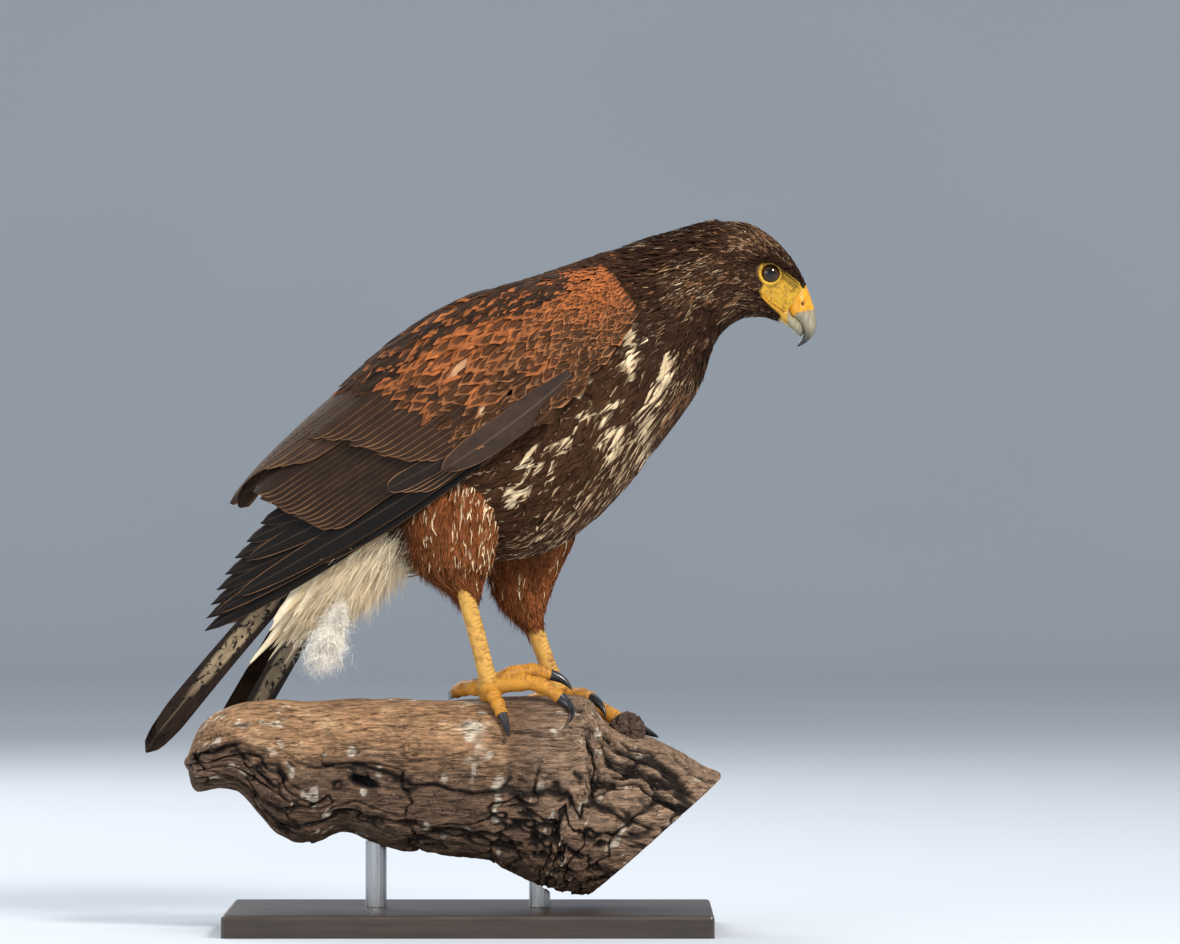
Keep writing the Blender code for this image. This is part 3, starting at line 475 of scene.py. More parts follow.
def head_relief(points, in_front):
    """How far the head's skin stands out from the plain body surface."""
    xz = seen(points)
    brow, above = line_distance(xz, BROW_LINE)
    width = np.where(above, 2.0 * BROW_WIDTH, 0.75 * BROW_WIDTH)
    rise = BROW_RISE * np.exp(-((brow / width) ** 2))
    eye = np.hypot(xz[:, 0] - EYE_X, xz[:, 1] - EYE_Z)
    rise -= SOCKET_DEPTH * (1 - ease(eye, 5.4, 7.2))
    bare = inside_distance(xz, BARE_SKIN)
    rise -= 0.9 * ease(bare, 0.5, 4.0) * ease(eye, 7.5, 10.0)
    gape, _ = line_distance(xz, GAPE_LINE)
    rise += GAPE_RISE * np.exp(-((gape / 1.5) ** 2)) - GAPE_GROOVE * np.exp(-((gape / 0.45) ** 2))
    side = np.abs(points[:, 1] - middle_y(points[:, 0]))
    return rise * in_front * ease(side, 3.0, 9.0)


def head_surface(p):
    """The body's surface with the head's relief on it."""
    base = body_surface(p)
    du, dv = slopes(body_surface, p, ROW_STEPS)
    outward = unit(np.cross(du, dv))
    in_front = ease(p[:, 0], HEAD_ROW, HEAD_ROW + 1.0)
    return base + outward * head_relief(base, in_front)[:, None]


# Materials.


def new_material(name):
    """A material and the parts of its node tree."""
    made = bpy.data.materials.new(name)
    made.use_nodes = True
    return made, made.node_tree.nodes, made.node_tree.links, made.node_tree.nodes["Principled BSDF"]


class Graph:
    """A short way to write shader nodes."""

    def __init__(self, name):
        self.material, self.nodes, self.links, self.shader = new_material(name)

    def put(self, socket, value):
        if isinstance(value, bpy.types.NodeSocket):
            self.links.new(value, socket)
        elif hasattr(value, "__len__") and len(value) == 3 and socket.type == "RGBA":
            socket.default_value = (*value, 1.0)
        else:
            socket.default_value = value

    def math(self, kind, a, b=0.0, clamp=False):
        node = self.nodes.new("ShaderNodeMath")
        node.operation = kind
        node.use_clamp = clamp
        self.put(node.inputs[0], a)
        self.put(node.inputs[1], b)
        return node.outputs[0]

    def ramp(self, value, start, end, low=0.0, high=1.0):
        node = self.nodes.new("ShaderNodeMapRange")
        node.interpolation_type = "SMOOTHSTEP"
        for socket, number in zip(node.inputs, (value, start, end, low, high)):
            self.put(socket, number)
        return node.outputs[0]

    def mix(self, share, a, b, kind="MIX"):
        node = self.nodes.new("ShaderNodeMix")
        node.data_type = "RGBA"
        node.blend_type = kind
        self.put(node.inputs[0], share)
        self.put(node.inputs[6], a)
        self.put(node.inputs[7], b)
        return node.outputs[2]

    def attribute(self, name, output="Vector"):
        node = self.nodes.new("ShaderNodeAttribute")
        node.attribute_name = name
        return node.outputs[output]

    def split(self, vector):
        node = self.nodes.new("ShaderNodeSeparateXYZ")
        self.links.new(vector, node.inputs[0])
        return node.outputs

    def join(self, x, y, z):
        node = self.nodes.new("ShaderNodeCombineXYZ")
        for socket, value in zip(node.inputs, (x, y, z)):
            self.put(socket, value)
        return node.outputs[0]

    def place(self, scale=(1.0, 1.0, 1.0)):
        coordinates = self.nodes.new("ShaderNodeTexCoord")
        return self.scaled(coordinates.outputs["Object"], scale)

    def scaled(self, vector, scale):
        mapping = self.nodes.new("ShaderNodeMapping")
        mapping.inputs["Scale"].default_value = scale
        self.links.new(vector, mapping.inputs["Vector"])
        return mapping.outputs[0]

    def noise(self, vector, scale, detail=3.0, rough=0.5):
        node = self.nodes.new("ShaderNodeTexNoise")
        self.links.new(vector, node.inputs["Vector"])
        node.inputs["Scale"].default_value = scale
        node.inputs["Detail"].default_value = detail
        node.inputs["Roughness"].default_value = rough
        return node.outputs[0]

    def cells(self, vector, scale, feature="DISTANCE_TO_EDGE"):
        node = self.nodes.new("ShaderNodeTexVoronoi")
        node.feature = feature
        self.links.new(vector, node.inputs["Vector"])
        node.inputs["Scale"].default_value = scale
        return node.outputs["Distance"]

    def bump(self, height, strength, distance):
        node = self.nodes.new("ShaderNodeBump")
        node.inputs["Strength"].default_value = strength
        node.inputs["Distance"].default_value = distance
        self.links.new(height, node.inputs["Height"])
        self.links.new(node.outputs[0], self.shader.inputs["Normal"])

    def finish(self, colour, roughness, **sockets):
        self.put(self.shader.inputs["Base Color"], colour)
        self.put(self.shader.inputs["Roughness"], roughness)
        for name, value in sockets.items():
            self.shader.inputs[name.replace("_", " ")].default_value = value
        return self.material


def feather_material(name, roughness=0.8, tip_gain=2.38, soft=0.10, wobble=0.35, hair=(11.0, 2.2),
                     hair_gain=0.34, barbs=0.0, bars=0.0, gloss=0.18, painted_root_shade=0.55):
    """A feather: a dark or pale middle, a marked edge, a shaft, hair-like barbs, perhaps bars, and
    painted shade that darkens it towards its covered root.

    leaf is (across, along, chance), form is (where the mark starts, shaft, bars).
    """
    g = Graph(name)
    across, along, chance = g.split(g.attribute("leaf"))[:3]
    edge_start, shaft_share, bar_share = g.split(g.attribute("form"))[:3]
    tone, mark = g.attribute("tone", "Color"), g.attribute("mark", "Color")
    side = g.math("ABSOLUTE", across)
    tip = g.math("MULTIPLY", g.math("MAXIMUM", g.math("SUBTRACT", along, 0.58), 0.0), tip_gain)
    reach = g.math(
        "SQRT", g.math("ADD", g.math("MULTIPLY", side, side), g.math("MULTIPLY", tip, tip))
    )
    # Strands run from the root and spread a little towards the tip.
    spread = g.math("DIVIDE", across, g.math("ADD", g.math("MULTIPLY", along, 0.45), 0.65))
    row = g.join(
        g.math("MULTIPLY", spread, hair[0]),
        g.math("MULTIPLY", along, hair[1]),
        g.math("MULTIPLY", chance, 91.0),
    )
    strand = g.noise(row, 1.0, 2.0, 0.6)
    reach = g.math("ADD", reach, g.math("MULTIPLY", g.math("SUBTRACT", strand, 0.5), wobble))
    soft_start = g.math("SUBTRACT", edge_start, soft)
    soft_end = g.math("ADD", edge_start, soft)
    colour = g.mix(g.ramp(reach, soft_start, soft_end), tone, mark)
    if bars:
        wave = g.math("ADD", g.math("MULTIPLY", along, bars), g.math("MULTIPLY", side, -0.9))
        patch = g.noise(g.place(), 210.0, 2.0)
        wave = g.math("ADD", wave, g.math("MULTIPLY", patch, 2.4))
        wave = g.math("SINE", g.math("MULTIPLY", wave, 6.283))
        band = g.math("MULTIPLY", g.ramp(wave, 0.25, 0.55), g.ramp(patch, 0.40, 0.52))
        colour = g.mix(g.math("MULTIPLY", band, bar_share), colour, BLACK_BROWN * 0.6)
    shade = g.ramp(strand, 0.28, 0.72, 1.0 - hair_gain, 1.0 + hair_gain)
    # Painted shade: each feather is darker towards its root, where the feathers above it cover it.
    shade = g.math("MULTIPLY", shade, g.ramp(along, 0.05, 0.55, painted_root_shade, 1.0))
    shade = g.math("MULTIPLY", shade, g.ramp(g.noise(g.place(), 110.0, 3.0), 0.3, 0.7, 0.84, 1.16))
    height = strand
    if barbs:
        # Barbs run out and forward from the shaft.
        run = g.math("ADD", g.math("MULTIPLY", along, barbs * 2.2),
                     g.math("MULTIPLY", side, -0.8 * barbs))
        run = g.math("ADD", run, g.math("MULTIPLY", strand, 1.4))
        height = g.math("SINE", g.math("MULTIPLY", run, 6.283))
        shade = g.math("MULTIPLY", shade, g.ramp(height, -1.0, 1.0, 0.9, 1.08))
    colour = g.mix(1.0, colour, shade, "MULTIPLY")
    shaft = g.math("MULTIPLY", g.ramp(side, 0.10, 0.03), shaft_share)
    colour = g.mix(shaft, colour, g.mix(0.4, tone, (0.16, 0.10, 0.065)))
    g.bump(height, 0.25, 0.0003)
    return g.finish(colour, roughness, Specular_IOR_Level=gloss)


def skin_material():
    """Bare skin, with darker spots in its tone."""
    g = Graph("skin")
    tone = g.attribute("tone", "Color")
    spot = g.ramp(g.noise(g.place(), 300.0, 5.0, 0.65), 0.42, 0.66)
    colour = g.mix(g.math("MULTIPLY", spot, 0.62), tone, g.mix(0.75, tone, (0.16, 0.075, 0.015)))
    fine = g.noise(g.place(), 1400.0, 3.0)
    colour = g.mix(g.ramp(fine, 0.62, 0.78, 0.0, 0.5), colour,
                   g.mix(0.75, tone, (0.05, 0.03, 0.02)))
    pores = g.cells(g.place(), 900.0)
    g.bump(g.math("ADD", g.ramp(pores, 0.0, 0.25), fine), 0.35, 0.0003)
    return g.finish(colour, 0.5, Subsurface_Weight=0.06, Specular_IOR_Level=0.4)


def scale_material():
    """Yellow scaly skin of the legs and toes."""
    g = Graph("leg_skin")
    tone = g.attribute("tone", "Color")
    cells = g.cells(g.place((1.0, 1.0, 1.5)), 820.0)
    line = g.ramp(cells, 0.02, 0.16)
    grime = g.ramp(g.noise(g.place(), 170.0, 4.0, 0.6), 0.45, 0.72)
    colour = g.mix(g.math("MULTIPLY", grime, 0.62), tone, LEG_BROWN)
    colour = g.mix(g.ramp(cells, 0.0, 0.12, 0.34, 0.0), colour, LEG_BROWN * 0.8)
    g.bump(line, 0.55, 0.0004)
    return g.finish(colour, 0.46, Specular_IOR_Level=0.45, Subsurface_Weight=0.05)


def horn_material(name, roughness):
    """Horn of the bill or claws, with a fine grain."""
    g = Graph(name)
    tone = g.attribute("tone", "Color")
    grain = g.noise(g.place((1.0, 1.0, 0.35)), 520.0, 4.0, 0.55)
    colour = g.mix(1.0, tone, g.ramp(grain, 0.25, 0.75, 0.72, 1.22), "MULTIPLY")
    g.bump(grain, 0.12, 0.0002)
    rough = g.ramp(grain, 0.2, 0.8, roughness - 0.06, roughness + 0.1)
    return g.finish(colour, rough, Coat_Weight=0.25, Coat_Roughness=0.18)


def eye_material():
    """Pupil, dark brown iris and a darker rim, by the distance from the eye's axis."""
    g = Graph("eye")
    out = g.split(g.attribute("leaf"))[0]
    streak = g.noise(g.place((1, 1, 1)), 1500.0, 2.0)
    iris = g.mix(streak, srgb(34, 19, 11), srgb(66, 38, 20))
    colour = g.mix(g.ramp(out, PUPIL_RADIUS - 0.25, PUPIL_RADIUS + 0.25), (0.004, 0.004, 0.005),
                   iris)
    colour = g.mix(g.ramp(out, IRIS_RADIUS - 0.9, IRIS_RADIUS - 0.1), colour, (0.012, 0.008, 0.006))
    return g.finish(colour, 0.06, Specular_IOR_Level=0.3, Coat_Weight=0.2, Coat_Roughness=0.02)


def bark_material():
    """Dead wood, with its grain along the limb."""
    g = Graph("bark")
    tone = g.attribute("tone", "Color")
    along = g.noise(g.place((0.35, 1.0, 1.0)), 340.0, 6.0, 0.62)
    fine = g.noise(g.place((0.3, 1.0, 1.0)), 1500.0, 4.0, 0.6)
    colour = g.mix(1.0, tone, g.ramp(along, 0.25, 0.75, 0.55, 1.45), "MULTIPLY")
    colour = g.mix(1.0, colour, g.ramp(fine, 0.3, 0.7, 0.78, 1.2), "MULTIPLY")
    # Fibres and drying cracks, long and thin, run along the limb.
    fibre = g.noise(g.place((0.14, 1.0, 1.0)), 760.0, 3.0, 0.7)
    colour = g.mix(1.0, colour, g.ramp(fibre, 0.38, 0.62, 0.66, 1.24), "MULTIPLY")
    split = g.math("ABSOLUTE", g.math("SUBTRACT",
                                      g.noise(g.place((0.10, 1.0, 1.0)), 150.0, 4.0, 0.6), 0.5))
    crack = g.ramp(split, 0.004, 0.018, 0.75, 0.0)
    # Painted shade: the thin cracks are near black inside.
    colour = g.mix(crack, colour, srgb(36, 25, 18))
    speck = g.ramp(g.noise(g.place(), 700.0, 2.0), 0.68, 0.76)
    colour = g.mix(g.math("MULTIPLY", speck, 0.55), colour, srgb(196, 184, 164))
    relief = g.math("ADD", g.math("ADD", along, g.math("MULTIPLY", fine, 0.5)), fibre)
    g.bump(g.math("SUBTRACT", relief, crack), 0.7, 0.0011)
    return g.finish(colour, g.ramp(along, 0.2, 0.8, 0.95, 0.78), Specular_IOR_Level=0.25)


def cut_material():
    """The sawn end: pale wood with rings."""
    g = Graph("sawn_wood")
    ring = g.attribute("leaf")
    out = g.split(ring)[0]
    wave = g.math("SINE", g.math("MULTIPLY", g.math("ADD", out, g.noise(g.place(), 60.0)), 60.0))
    colour = g.mix(g.ramp(wave, -1.0, 1.0), srgb(150, 112, 76), srgb(190, 152, 110))
    saw = g.noise(g.place((1.0, 0.1, 1.0)), 900.0, 3.0)
    colour = g.mix(1.0, colour, g.ramp(saw, 0.3, 0.7, 0.8, 1.12), "MULTIPLY")
    colour = g.mix(g.ramp(out, 0.86, 0.97), colour, srgb(62, 46, 36))
    g.bump(saw, 0.3, 0.0005)
    return g.finish(colour, 0.85)


def stand_material():
    """Dark wood of the base."""
    g = Graph("stand_wood")
    grain = g.noise(g.place((0.6, 9.0, 9.0)), 42.0, 6.0, 0.6)
    band = g.noise(g.place((0.25, 3.0, 3.0)), 20.0, 3.0)
    colour = g.mix(grain, srgb(40, 33, 29), srgb(72, 58, 48))
    colour = g.mix(g.ramp(band, 0.3, 0.7, 0.0, 0.4), colour, srgb(32, 27, 25))
    g.bump(grain, 0.12, 0.0003)
    return g.finish(colour, g.ramp(grain, 0.3, 0.7, 0.34, 0.5), Coat_Weight=0.2, Coat_Roughness=0.3)


def steel_material():
    """Brushed steel of the rods."""
    g = Graph("brushed_steel")
    brush = g.noise(g.place((1.0, 1.0, 0.02)), 2600.0, 4.0, 0.6)
    colour = g.mix(brush, srgb(150, 152, 155), srgb(205, 206, 208))
    g.bump(brush, 0.08, 0.0001)
    return g.finish(colour, g.ramp(brush, 0.3, 0.7, 0.24, 0.4), Metallic=1.0)


def floor_material():
    """Pale grey-blue of the floor and backdrop."""
    g = Graph("studio")
    tint = g.noise(g.place(), 1.2, 2.0)
    colour = g.mix(tint, srgb(192, 199, 208), srgb(200, 206, 214))
    return g.finish(colour, 0.85)


# Meshes.


def mesh_object(name, points, faces, material, vectors=None, colours=None, uv=None):
    """An object from points in millimetres and an array of faces of equal size."""
    points = np.ascontiguousarray(np.asarray(points, np.float32).reshape(-1, 3) * MM)
    faces = np.asarray(faces, np.int32)
    sides = faces.shape[1]
    mesh = bpy.data.meshes.new(name)
    mesh.vertices.add(len(points))
    mesh.vertices.foreach_set("co", points.ravel())
    mesh.loops.add(faces.size)
    mesh.loops.foreach_set("vertex_index", faces.ravel())
    mesh.polygons.add(len(faces))
    mesh.polygons.foreach_set("loop_start", np.arange(0, faces.size, sides, dtype=np.int32))
    mesh.polygons.foreach_set("use_smooth", np.full(len(faces), True))
    mesh.update(calc_edges=True)
    for key, values in (vectors or {}).items():
        layer = mesh.attributes.new(key, "FLOAT_VECTOR", "POINT")
        layer.data.foreach_set("vector", np.asarray(values, np.float32).ravel())
    for key, values in (colours or {}).items():
        layer = mesh.attributes.new(key, "FLOAT_COLOR", "POINT")
        full = np.ones((len(points), 4), np.float32)
        full[:, :3] = np.asarray(values).reshape(-1, 3)
        layer.data.foreach_set("color", full.ravel())
    if uv is not None:
        layer = mesh.uv_layers.new(name="OFBake")
        corner = np.asarray(uv, np.float32).reshape(-1, 2)[faces.ravel()]
        layer.data.foreach_set("uv", corner.ravel())
    mesh.materials.append(material)
    obj = bpy.data.objects.new(name, mesh)
    bpy.context.scene.collection.objects.link(obj)
    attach(obj, "root")
    return obj


def globe(rings, sides, first=0.01, last=np.pi - 0.01):
    """Angles from the pole and round it, for rings of points on a ball."""
    lon = np.linspace(0, 2 * np.pi, sides, endpoint=False)
    lat, lon = np.meshgrid(np.linspace(first, last, rings), lon, indexing="ij")
    return lat.ravel(), lon.ravel()


def grid_faces(rows, columns, wrap=False):
    """Faces of a grid of points; wrap joins the last column to the first."""
    i, j = np.meshgrid(np.arange(rows - 1), np.arange(columns if wrap else columns - 1),
                       indexing="ij")
    k = (j + 1) % columns
    a, b = i * columns + j, i * columns + k
    return np.stack([a, b, b + columns, a + columns], -1).reshape(-1, 4)


TUFT_PATCH = 0.003  # a tuft's size on the bake's map


class Coat:
    """Many feathers that become one mesh."""

    def __init__(self, name, material, slot):
        self.name, self.material, self.slot = name, material, slot
        self.parts = []

    def add(self, grid, leaf, tone, mark, form, root_uv, flip=False):
        """The grid is (feathers, along, across, 3); the rest is a row a feather or a point."""
        count, rows, columns = grid.shape[:3]
        faces = grid_faces(rows, columns)
        if flip:
            faces = faces[:, ::-1]
        shift = (np.arange(count) * rows * columns)[:, None, None]

        def spread(v):
            v = np.asarray(v, float)
            v = v[:, None, None, :] if v.ndim == 2 else v
            return np.broadcast_to(v, (count, rows, columns, 3)).reshape(-1, 3)

        local = np.stack([leaf[..., 0] * 0.5, leaf[..., 1] - 0.5], -1) * TUFT_PATCH
        uv = np.clip(root_uv[:, None, None, :] + local, 0.0, 1.0)
        self.parts.append(
            (
                grid.reshape(-1, 3),
                (faces[None] + shift).reshape(-1, 4),
                np.broadcast_to(leaf, (count, rows, columns, 3)).reshape(-1, 3),
                spread(tone),
                spread(mark),
                spread(form),
                uv.reshape(-1, 2),
            )
        )

    def build(self):
        starts = np.cumsum([0] + [len(part[0]) for part in self.parts])
        faces = np.concatenate([part[1] + start for part, start in zip(self.parts, starts)])
        points, _, leaf, tone, mark, form, uv = (
            np.concatenate([part[i] for part in self.parts]) for i in range(7)
        )
        print("coat", self.name, 2 * len(faces), "triangles")
        obj = mesh_object(
            self.name,
            points,
            faces,
            self.material,
            {"leaf": leaf, "form": form},
            {"tone": tone, "mark": mark},
            uv,
        )
        return obj


# Feathers that lie on a surface.


class Lie:
    """How a kind of feather lies: its grid, outline and heights over the surface."""

    def __init__(self, rows=6, columns=5, sink=3.0, lift=0.3, crown=0.12, taper=0.62, ragged=0.05,
                 point=0.0, base=0.35, scatter=7.0, roll=6.0, blunt=0.06, cut=0.10):
        self.rows, self.columns = rows, columns
        self.sink, self.lift, self.crown = sink, lift, crown
        self.taper, self.ragged, self.point, self.base = taper, ragged, point, base
        self.scatter, self.roll, self.blunt, self.cut = scatter, roll, blunt, cut


def outline(along, lie):
    """A feather's half width at each place along it, as a share of its widest."""
    grow = lie.base + (1 - lie.base) * np.sin(np.clip(along / lie.taper, 0, 1) * np.pi / 2)
    after = np.clip((along - lie.taper) / (1 - lie.taper), 0, 1)
    tip = (1 - lie.point) * np.sqrt(np.clip(1 - after**2, 0, 1)) + lie.point * (1 - after)
    return np.where(along < lie.taper, grow, np.maximum(tip, lie.blunt))


def lay(surface, roots, steps, flow, length, width, lie, rng, swing=0.0, outward=1.0, bounds=None):
    """Feathers from their roots along the flow. flow is the place's axis and sign, as (0, -1)."""
    count = len(roots)
    du, dv = slopes(surface, roots, steps)
    normal = unit(np.cross(du, dv)) * outward
    ahead = unit((du, dv)[flow[0]] * flow[1])
    beside_it = np.cross(normal, ahead)
    angle = np.radians(rng.normal(0, lie.scatter, count) + swing)[:, None]
    aim = (ahead * np.cos(angle) + beside_it * np.sin(angle)) * np.reshape(length, (-1, 1))
    uu, uv, vv = (du * du).sum(1), (du * dv).sum(1), (dv * dv).sum(1)
    au, av = (aim * du).sum(1), (aim * dv).sum(1)
    det = np.maximum(uu * vv - uv * uv, 1e-9)
    step = np.stack([(au * vv - av * uv) / det, (av * uu - au * uv) / det], 1)
    bases, normals = [], []
    for share in (0.0, 0.5, 1.0):
        p = roots + step * share
        if bounds is not None:
            p = np.clip(p, *bounds)
        bases.append(surface(p))
        a, b = slopes(surface, p, steps)
        normals.append(unit(np.cross(a, b)) * outward)
    # Where the surface ends before the tip, the feather goes straight on.
    ends = np.linalg.norm(bases[2] - bases[0], axis=1) < 0.9 * np.reshape(length, -1)
    bases[1] = np.where(ends[:, None], bases[0] + aim * 0.5, bases[1])
    bases[2] = np.where(ends[:, None], bases[0] + aim, bases[2])
    v = np.linspace(0, 1, lie.rows)
    w = [(1 - v) * (1 - 2 * v), 4 * v * (1 - v), v * (2 * v - 1)]
    spine = sum(b[:, None, :] * k[None, :, None] for b, k in zip(bases, w))
    n = unit(sum(b[:, None, :] * k[None, :, None] for b, k in zip(normals, [(1 - v), 0 * v, v])))
    forward = unit(np.gradient(spine, axis=1))
    side = unit(np.cross(n, forward))
    tilt = np.radians(rng.normal(0, lie.roll, count))[:, None, None]
    side, n = side * np.cos(tilt) + n * np.sin(tilt), n * np.cos(tilt) - side * np.sin(tilt)
    u = np.linspace(-1, 1, lie.columns)
    half = np.reshape(width, (-1, 1, 1)) / 2
    wide = outline(v, lie)[None, :, None] * u[None, None, :] * half
    sink = np.reshape(lie.sink, (-1, 1, 1)) * np.ones((count, 1, 1))
    lift = np.reshape(lie.lift, (-1, 1, 1)) + rng.normal(0, 0.22, (count, 1, 1))
    height = -sink + (sink + lift) * np.sin(np.clip(v, 0, 1) * 1.45)[None, :, None] / math.sin(1.45)
    height = height - lie.crown * half * 2 * (u**2)[None, None, :]
    tips = ease(v, 0.5, 1.0)[None, :, None]
    # Each column is a strand, and ends a little before or after its neighbours.
    teeth = rng.normal(0, 1.0, (count, 1, lie.columns)) * lie.ragged
    frayed = (teeth - lie.cut * u**2) * tips * np.reshape(length, (-1, 1, 1))
    grid = (
        spine[:, :, None, :]
        + side[:, :, None, :] * wide[..., None]
        + n[:, :, None, :] * height[..., None]
        + forward[:, :, None, :] * frayed[..., None]
    )
    leaf = np.stack(
        np.broadcast_arrays(u[None, None, :], v[None, :, None], rng.random((count, 1, 1))), -1
    )
    return grid, leaf


def scatter_body(first, last, spacing_at, rng, row_share=1.0):
    """Roots in staggered rows over the body between two rows, nearest the face first."""
    roots = []
    row = last
    odd = 0
    while row > first:
        turns = np.linspace(0, 1, 241)
        ring = body_surface(np.stack([np.full(241, row), turns], 1))
        round_length = np.concatenate([[0],
                                       np.cumsum(np.linalg.norm(np.diff(ring, axis=0), axis=1))])
        spacing = spacing_at(row)
        count = max(6, int(round_length[-1] / spacing))
        at = (np.arange(count) + 0.5 * (odd % 2) + rng.normal(0, 0.17, count)) / count % 1.0
        turn = np.interp(at * round_length[-1], round_length, turns)
        ahead = body_surface(np.stack([np.full(241, row - 0.1), turns], 1))
        gap = np.linalg.norm(ahead - ring, axis=1) / 0.1
        # Rows fan out towards the back or the belly, so thin them where they crowd.
        here = np.interp(turn, turns, gap)
        keep = rng.random(count) < np.clip(here / (gap.mean() * 0.9), 0.25, 1.0)
        places = np.full(count, row) + rng.normal(0, 0.22, count) * spacing / gap.mean()
        roots.append(np.stack([places, turn], 1)[keep])
        row -= row_share * spacing / gap.mean()
        odd += 1
    return np.concatenate(roots)


def mirrored(p):
    """The same places on the bird's right side."""
    return np.stack([p[:, 0], np.where(p[:, 1] % 1.0 < 0.5, 1 - p[:, 1] % 1.0, p[:, 1] % 1.0)], 1)


def under_wing(points, margin=9.0):
    """Whether a body point lies well under a folded wing."""
    hidden = np.zeros(len(points), bool)
    middle = middle_y(points[:, 0])
    for sign in (-1, 1):
        slope = WING_SLOPE - (FAR_WING_LIFT if sign > 0 else 0.0)
        out = (points[:, 1] - middle) * sign
        x = points[:, 0] - (2 * out * math.sin(BODY_YAW) if sign > 0 else 0.0)
        dx, dz = WRIST_X - x, WRIST_Z - points[:, 2]
        a = dx * math.cos(slope) + dz * math.sin(slope) - (FAR_WING_SHIFT if sign > 0 else 0.0)
        b = -(dz * math.cos(slope) - dx * math.sin(slope))
        low, high = sheet_limits(a)
        within = (a > margin) & (a < 190) & (b > low + margin) & (b < high - 1.2 * margin)
        hidden |= within & (out > 14)
    return hidden


def vary(rng, colour, count, amount=0.16):
    """One colour a feather, a little lighter or darker than the kind's."""
    return np.asarray(colour)[None, :] * (1 + rng.normal(0, amount, (count, 1)))


def uneven(rng, count, amount):
    """Factors near 1, one a feather."""
    return 1 + rng.normal(0, amount, count)


# The form of a feather whose mark never shows.
PLAIN = (2.0, 0.0, 0.0)


def forms(start, shaft):
    """Rows of where each feather's mark starts, how much its shaft shows, and no bars."""
    return np.stack(np.broadcast_arrays(start, shaft, 0.0), 1)


def near_patch(xyz, patch):
    """1 in the middle of a patch (x, z, reach along x, reach along z), less further out."""
    x, z, long, high = patch
    return np.exp(-(((xyz[:, 0] - x) / long) ** 2 + ((xyz[:, 2] - z) / high) ** 2))


def blend(a, b, share):
    """Row by row, as much of b as share says and the rest of a."""
    share = np.clip(share, 0, 1)[:, None]
    return a * (1 - share) + b * share


# The pale streaks of the breast and the shoulder, seen from the side: ends and half width.
CREAM_STREAKS = (
    ((131.0, 376.0), (126.0, 358.0), 3.6),
    ((126.0, 358.0), (117.0, 330.0), 4.4),
    ((92.0, 414.0), (103.0, 404.0), 2.4),
    ((103.0, 404.0), (104.0, 392.0), 3.2),
    ((108.0, 398.0), (108.0, 384.0), 2.6),
    ((104.0, 380.0), (109.0, 366.0), 2.6),
    ((78.0, 362.0), (66.0, 350.0), 2.2),
    ((80.0, 343.0), (70.0, 329.0), 3.2),
    ((99.0, 350.0), (88.0, 336.0), 2.2),
    ((98.0, 334.0), (86.0, 322.0), 3.2),
    ((66.0, 325.0), (56.0, 316.0), 3.4),
    ((43.0, 308.0), (37.0, 302.0), 4.0),
    ((34.0, 291.0), (28.0, 285.0), 3.6),
    ((102.0, 327.0), (93.0, 312.0), 2.2),
    ((118.0, 322.0), (111.0, 308.0), 2.0),
    ((56.0, 303.0), (50.0, 290.0), 2.0),
)


# Patches of the head and chest: x and z of the middle, and the reach along x and z.
BIB = (143.0, 386.0, 11.0, 15.0)
CHEEK = (160.0, 430.0, 12.0, 13.0)
JAW = (182.0, 418.0, 16.0, 9.0)
FOREHEAD = (192.0, 455.0, 16.0, 9.0)
COLLAR = (143.0, 418.0, 7.0, 14.0)


def streak_share(xz):
    """How much of a cream streak lies at each place."""
    share = np.zeros(len(xz))
    for start, end, half in CREAM_STREAKS:
        far, _ = line_distance(xz, (start, end))
        share = np.maximum(share, 1 - ease(far, half * 0.6, half * 1.25))
    return share


def streaked(grid, tone, mark, turn, rng):
    """Tone and mark at each point, with the cream streaks laid over them."""
    count, rows, columns = grid.shape[:3]
    xz = grid[..., [0, 2]]
    middle = xz[:, rows // 2 + 1 : rows // 2 + 2, columns // 2 : columns // 2 + 1]
    xz = xz * 0.45 + middle * 0.55 + rng.normal(0, 2.0, (count, 1, 1, 2))
    xz = xz + rng.normal(0, 0.9, (count, 1, columns, 2))
    share = streak_share(xz.reshape(-1, 2)).reshape(count, rows, columns)
    share = share * (1 - ease(turn, 0.70, 0.78))[:, None, None]
    # Some feathers keep a dark drop in the middle of their cream.
    u = np.abs(np.linspace(-1, 1, columns))
    drop = (rng.random(count) < 0.45)[:, None, None] * (u < 0.45)[None, None, :]
    share = share * (1 - 0.85 * drop * ease(np.linspace(0, 1, rows), 0.45, 0.7)[None, :, None])
    share = ease(share + rng.normal(0, 0.12, (count, 1, columns)), 0.25, 0.75)[..., None]
    cream = blend(vary(rng, CREAM, count, 0.08), vary(rng, TAN, count, 0.1),
                  0.35 * rng.random(count))
    cream = cream[:, None, None, :]
    return [c[:, None, None, :] * (1 - share) + cream * share for c in (tone, mark)]


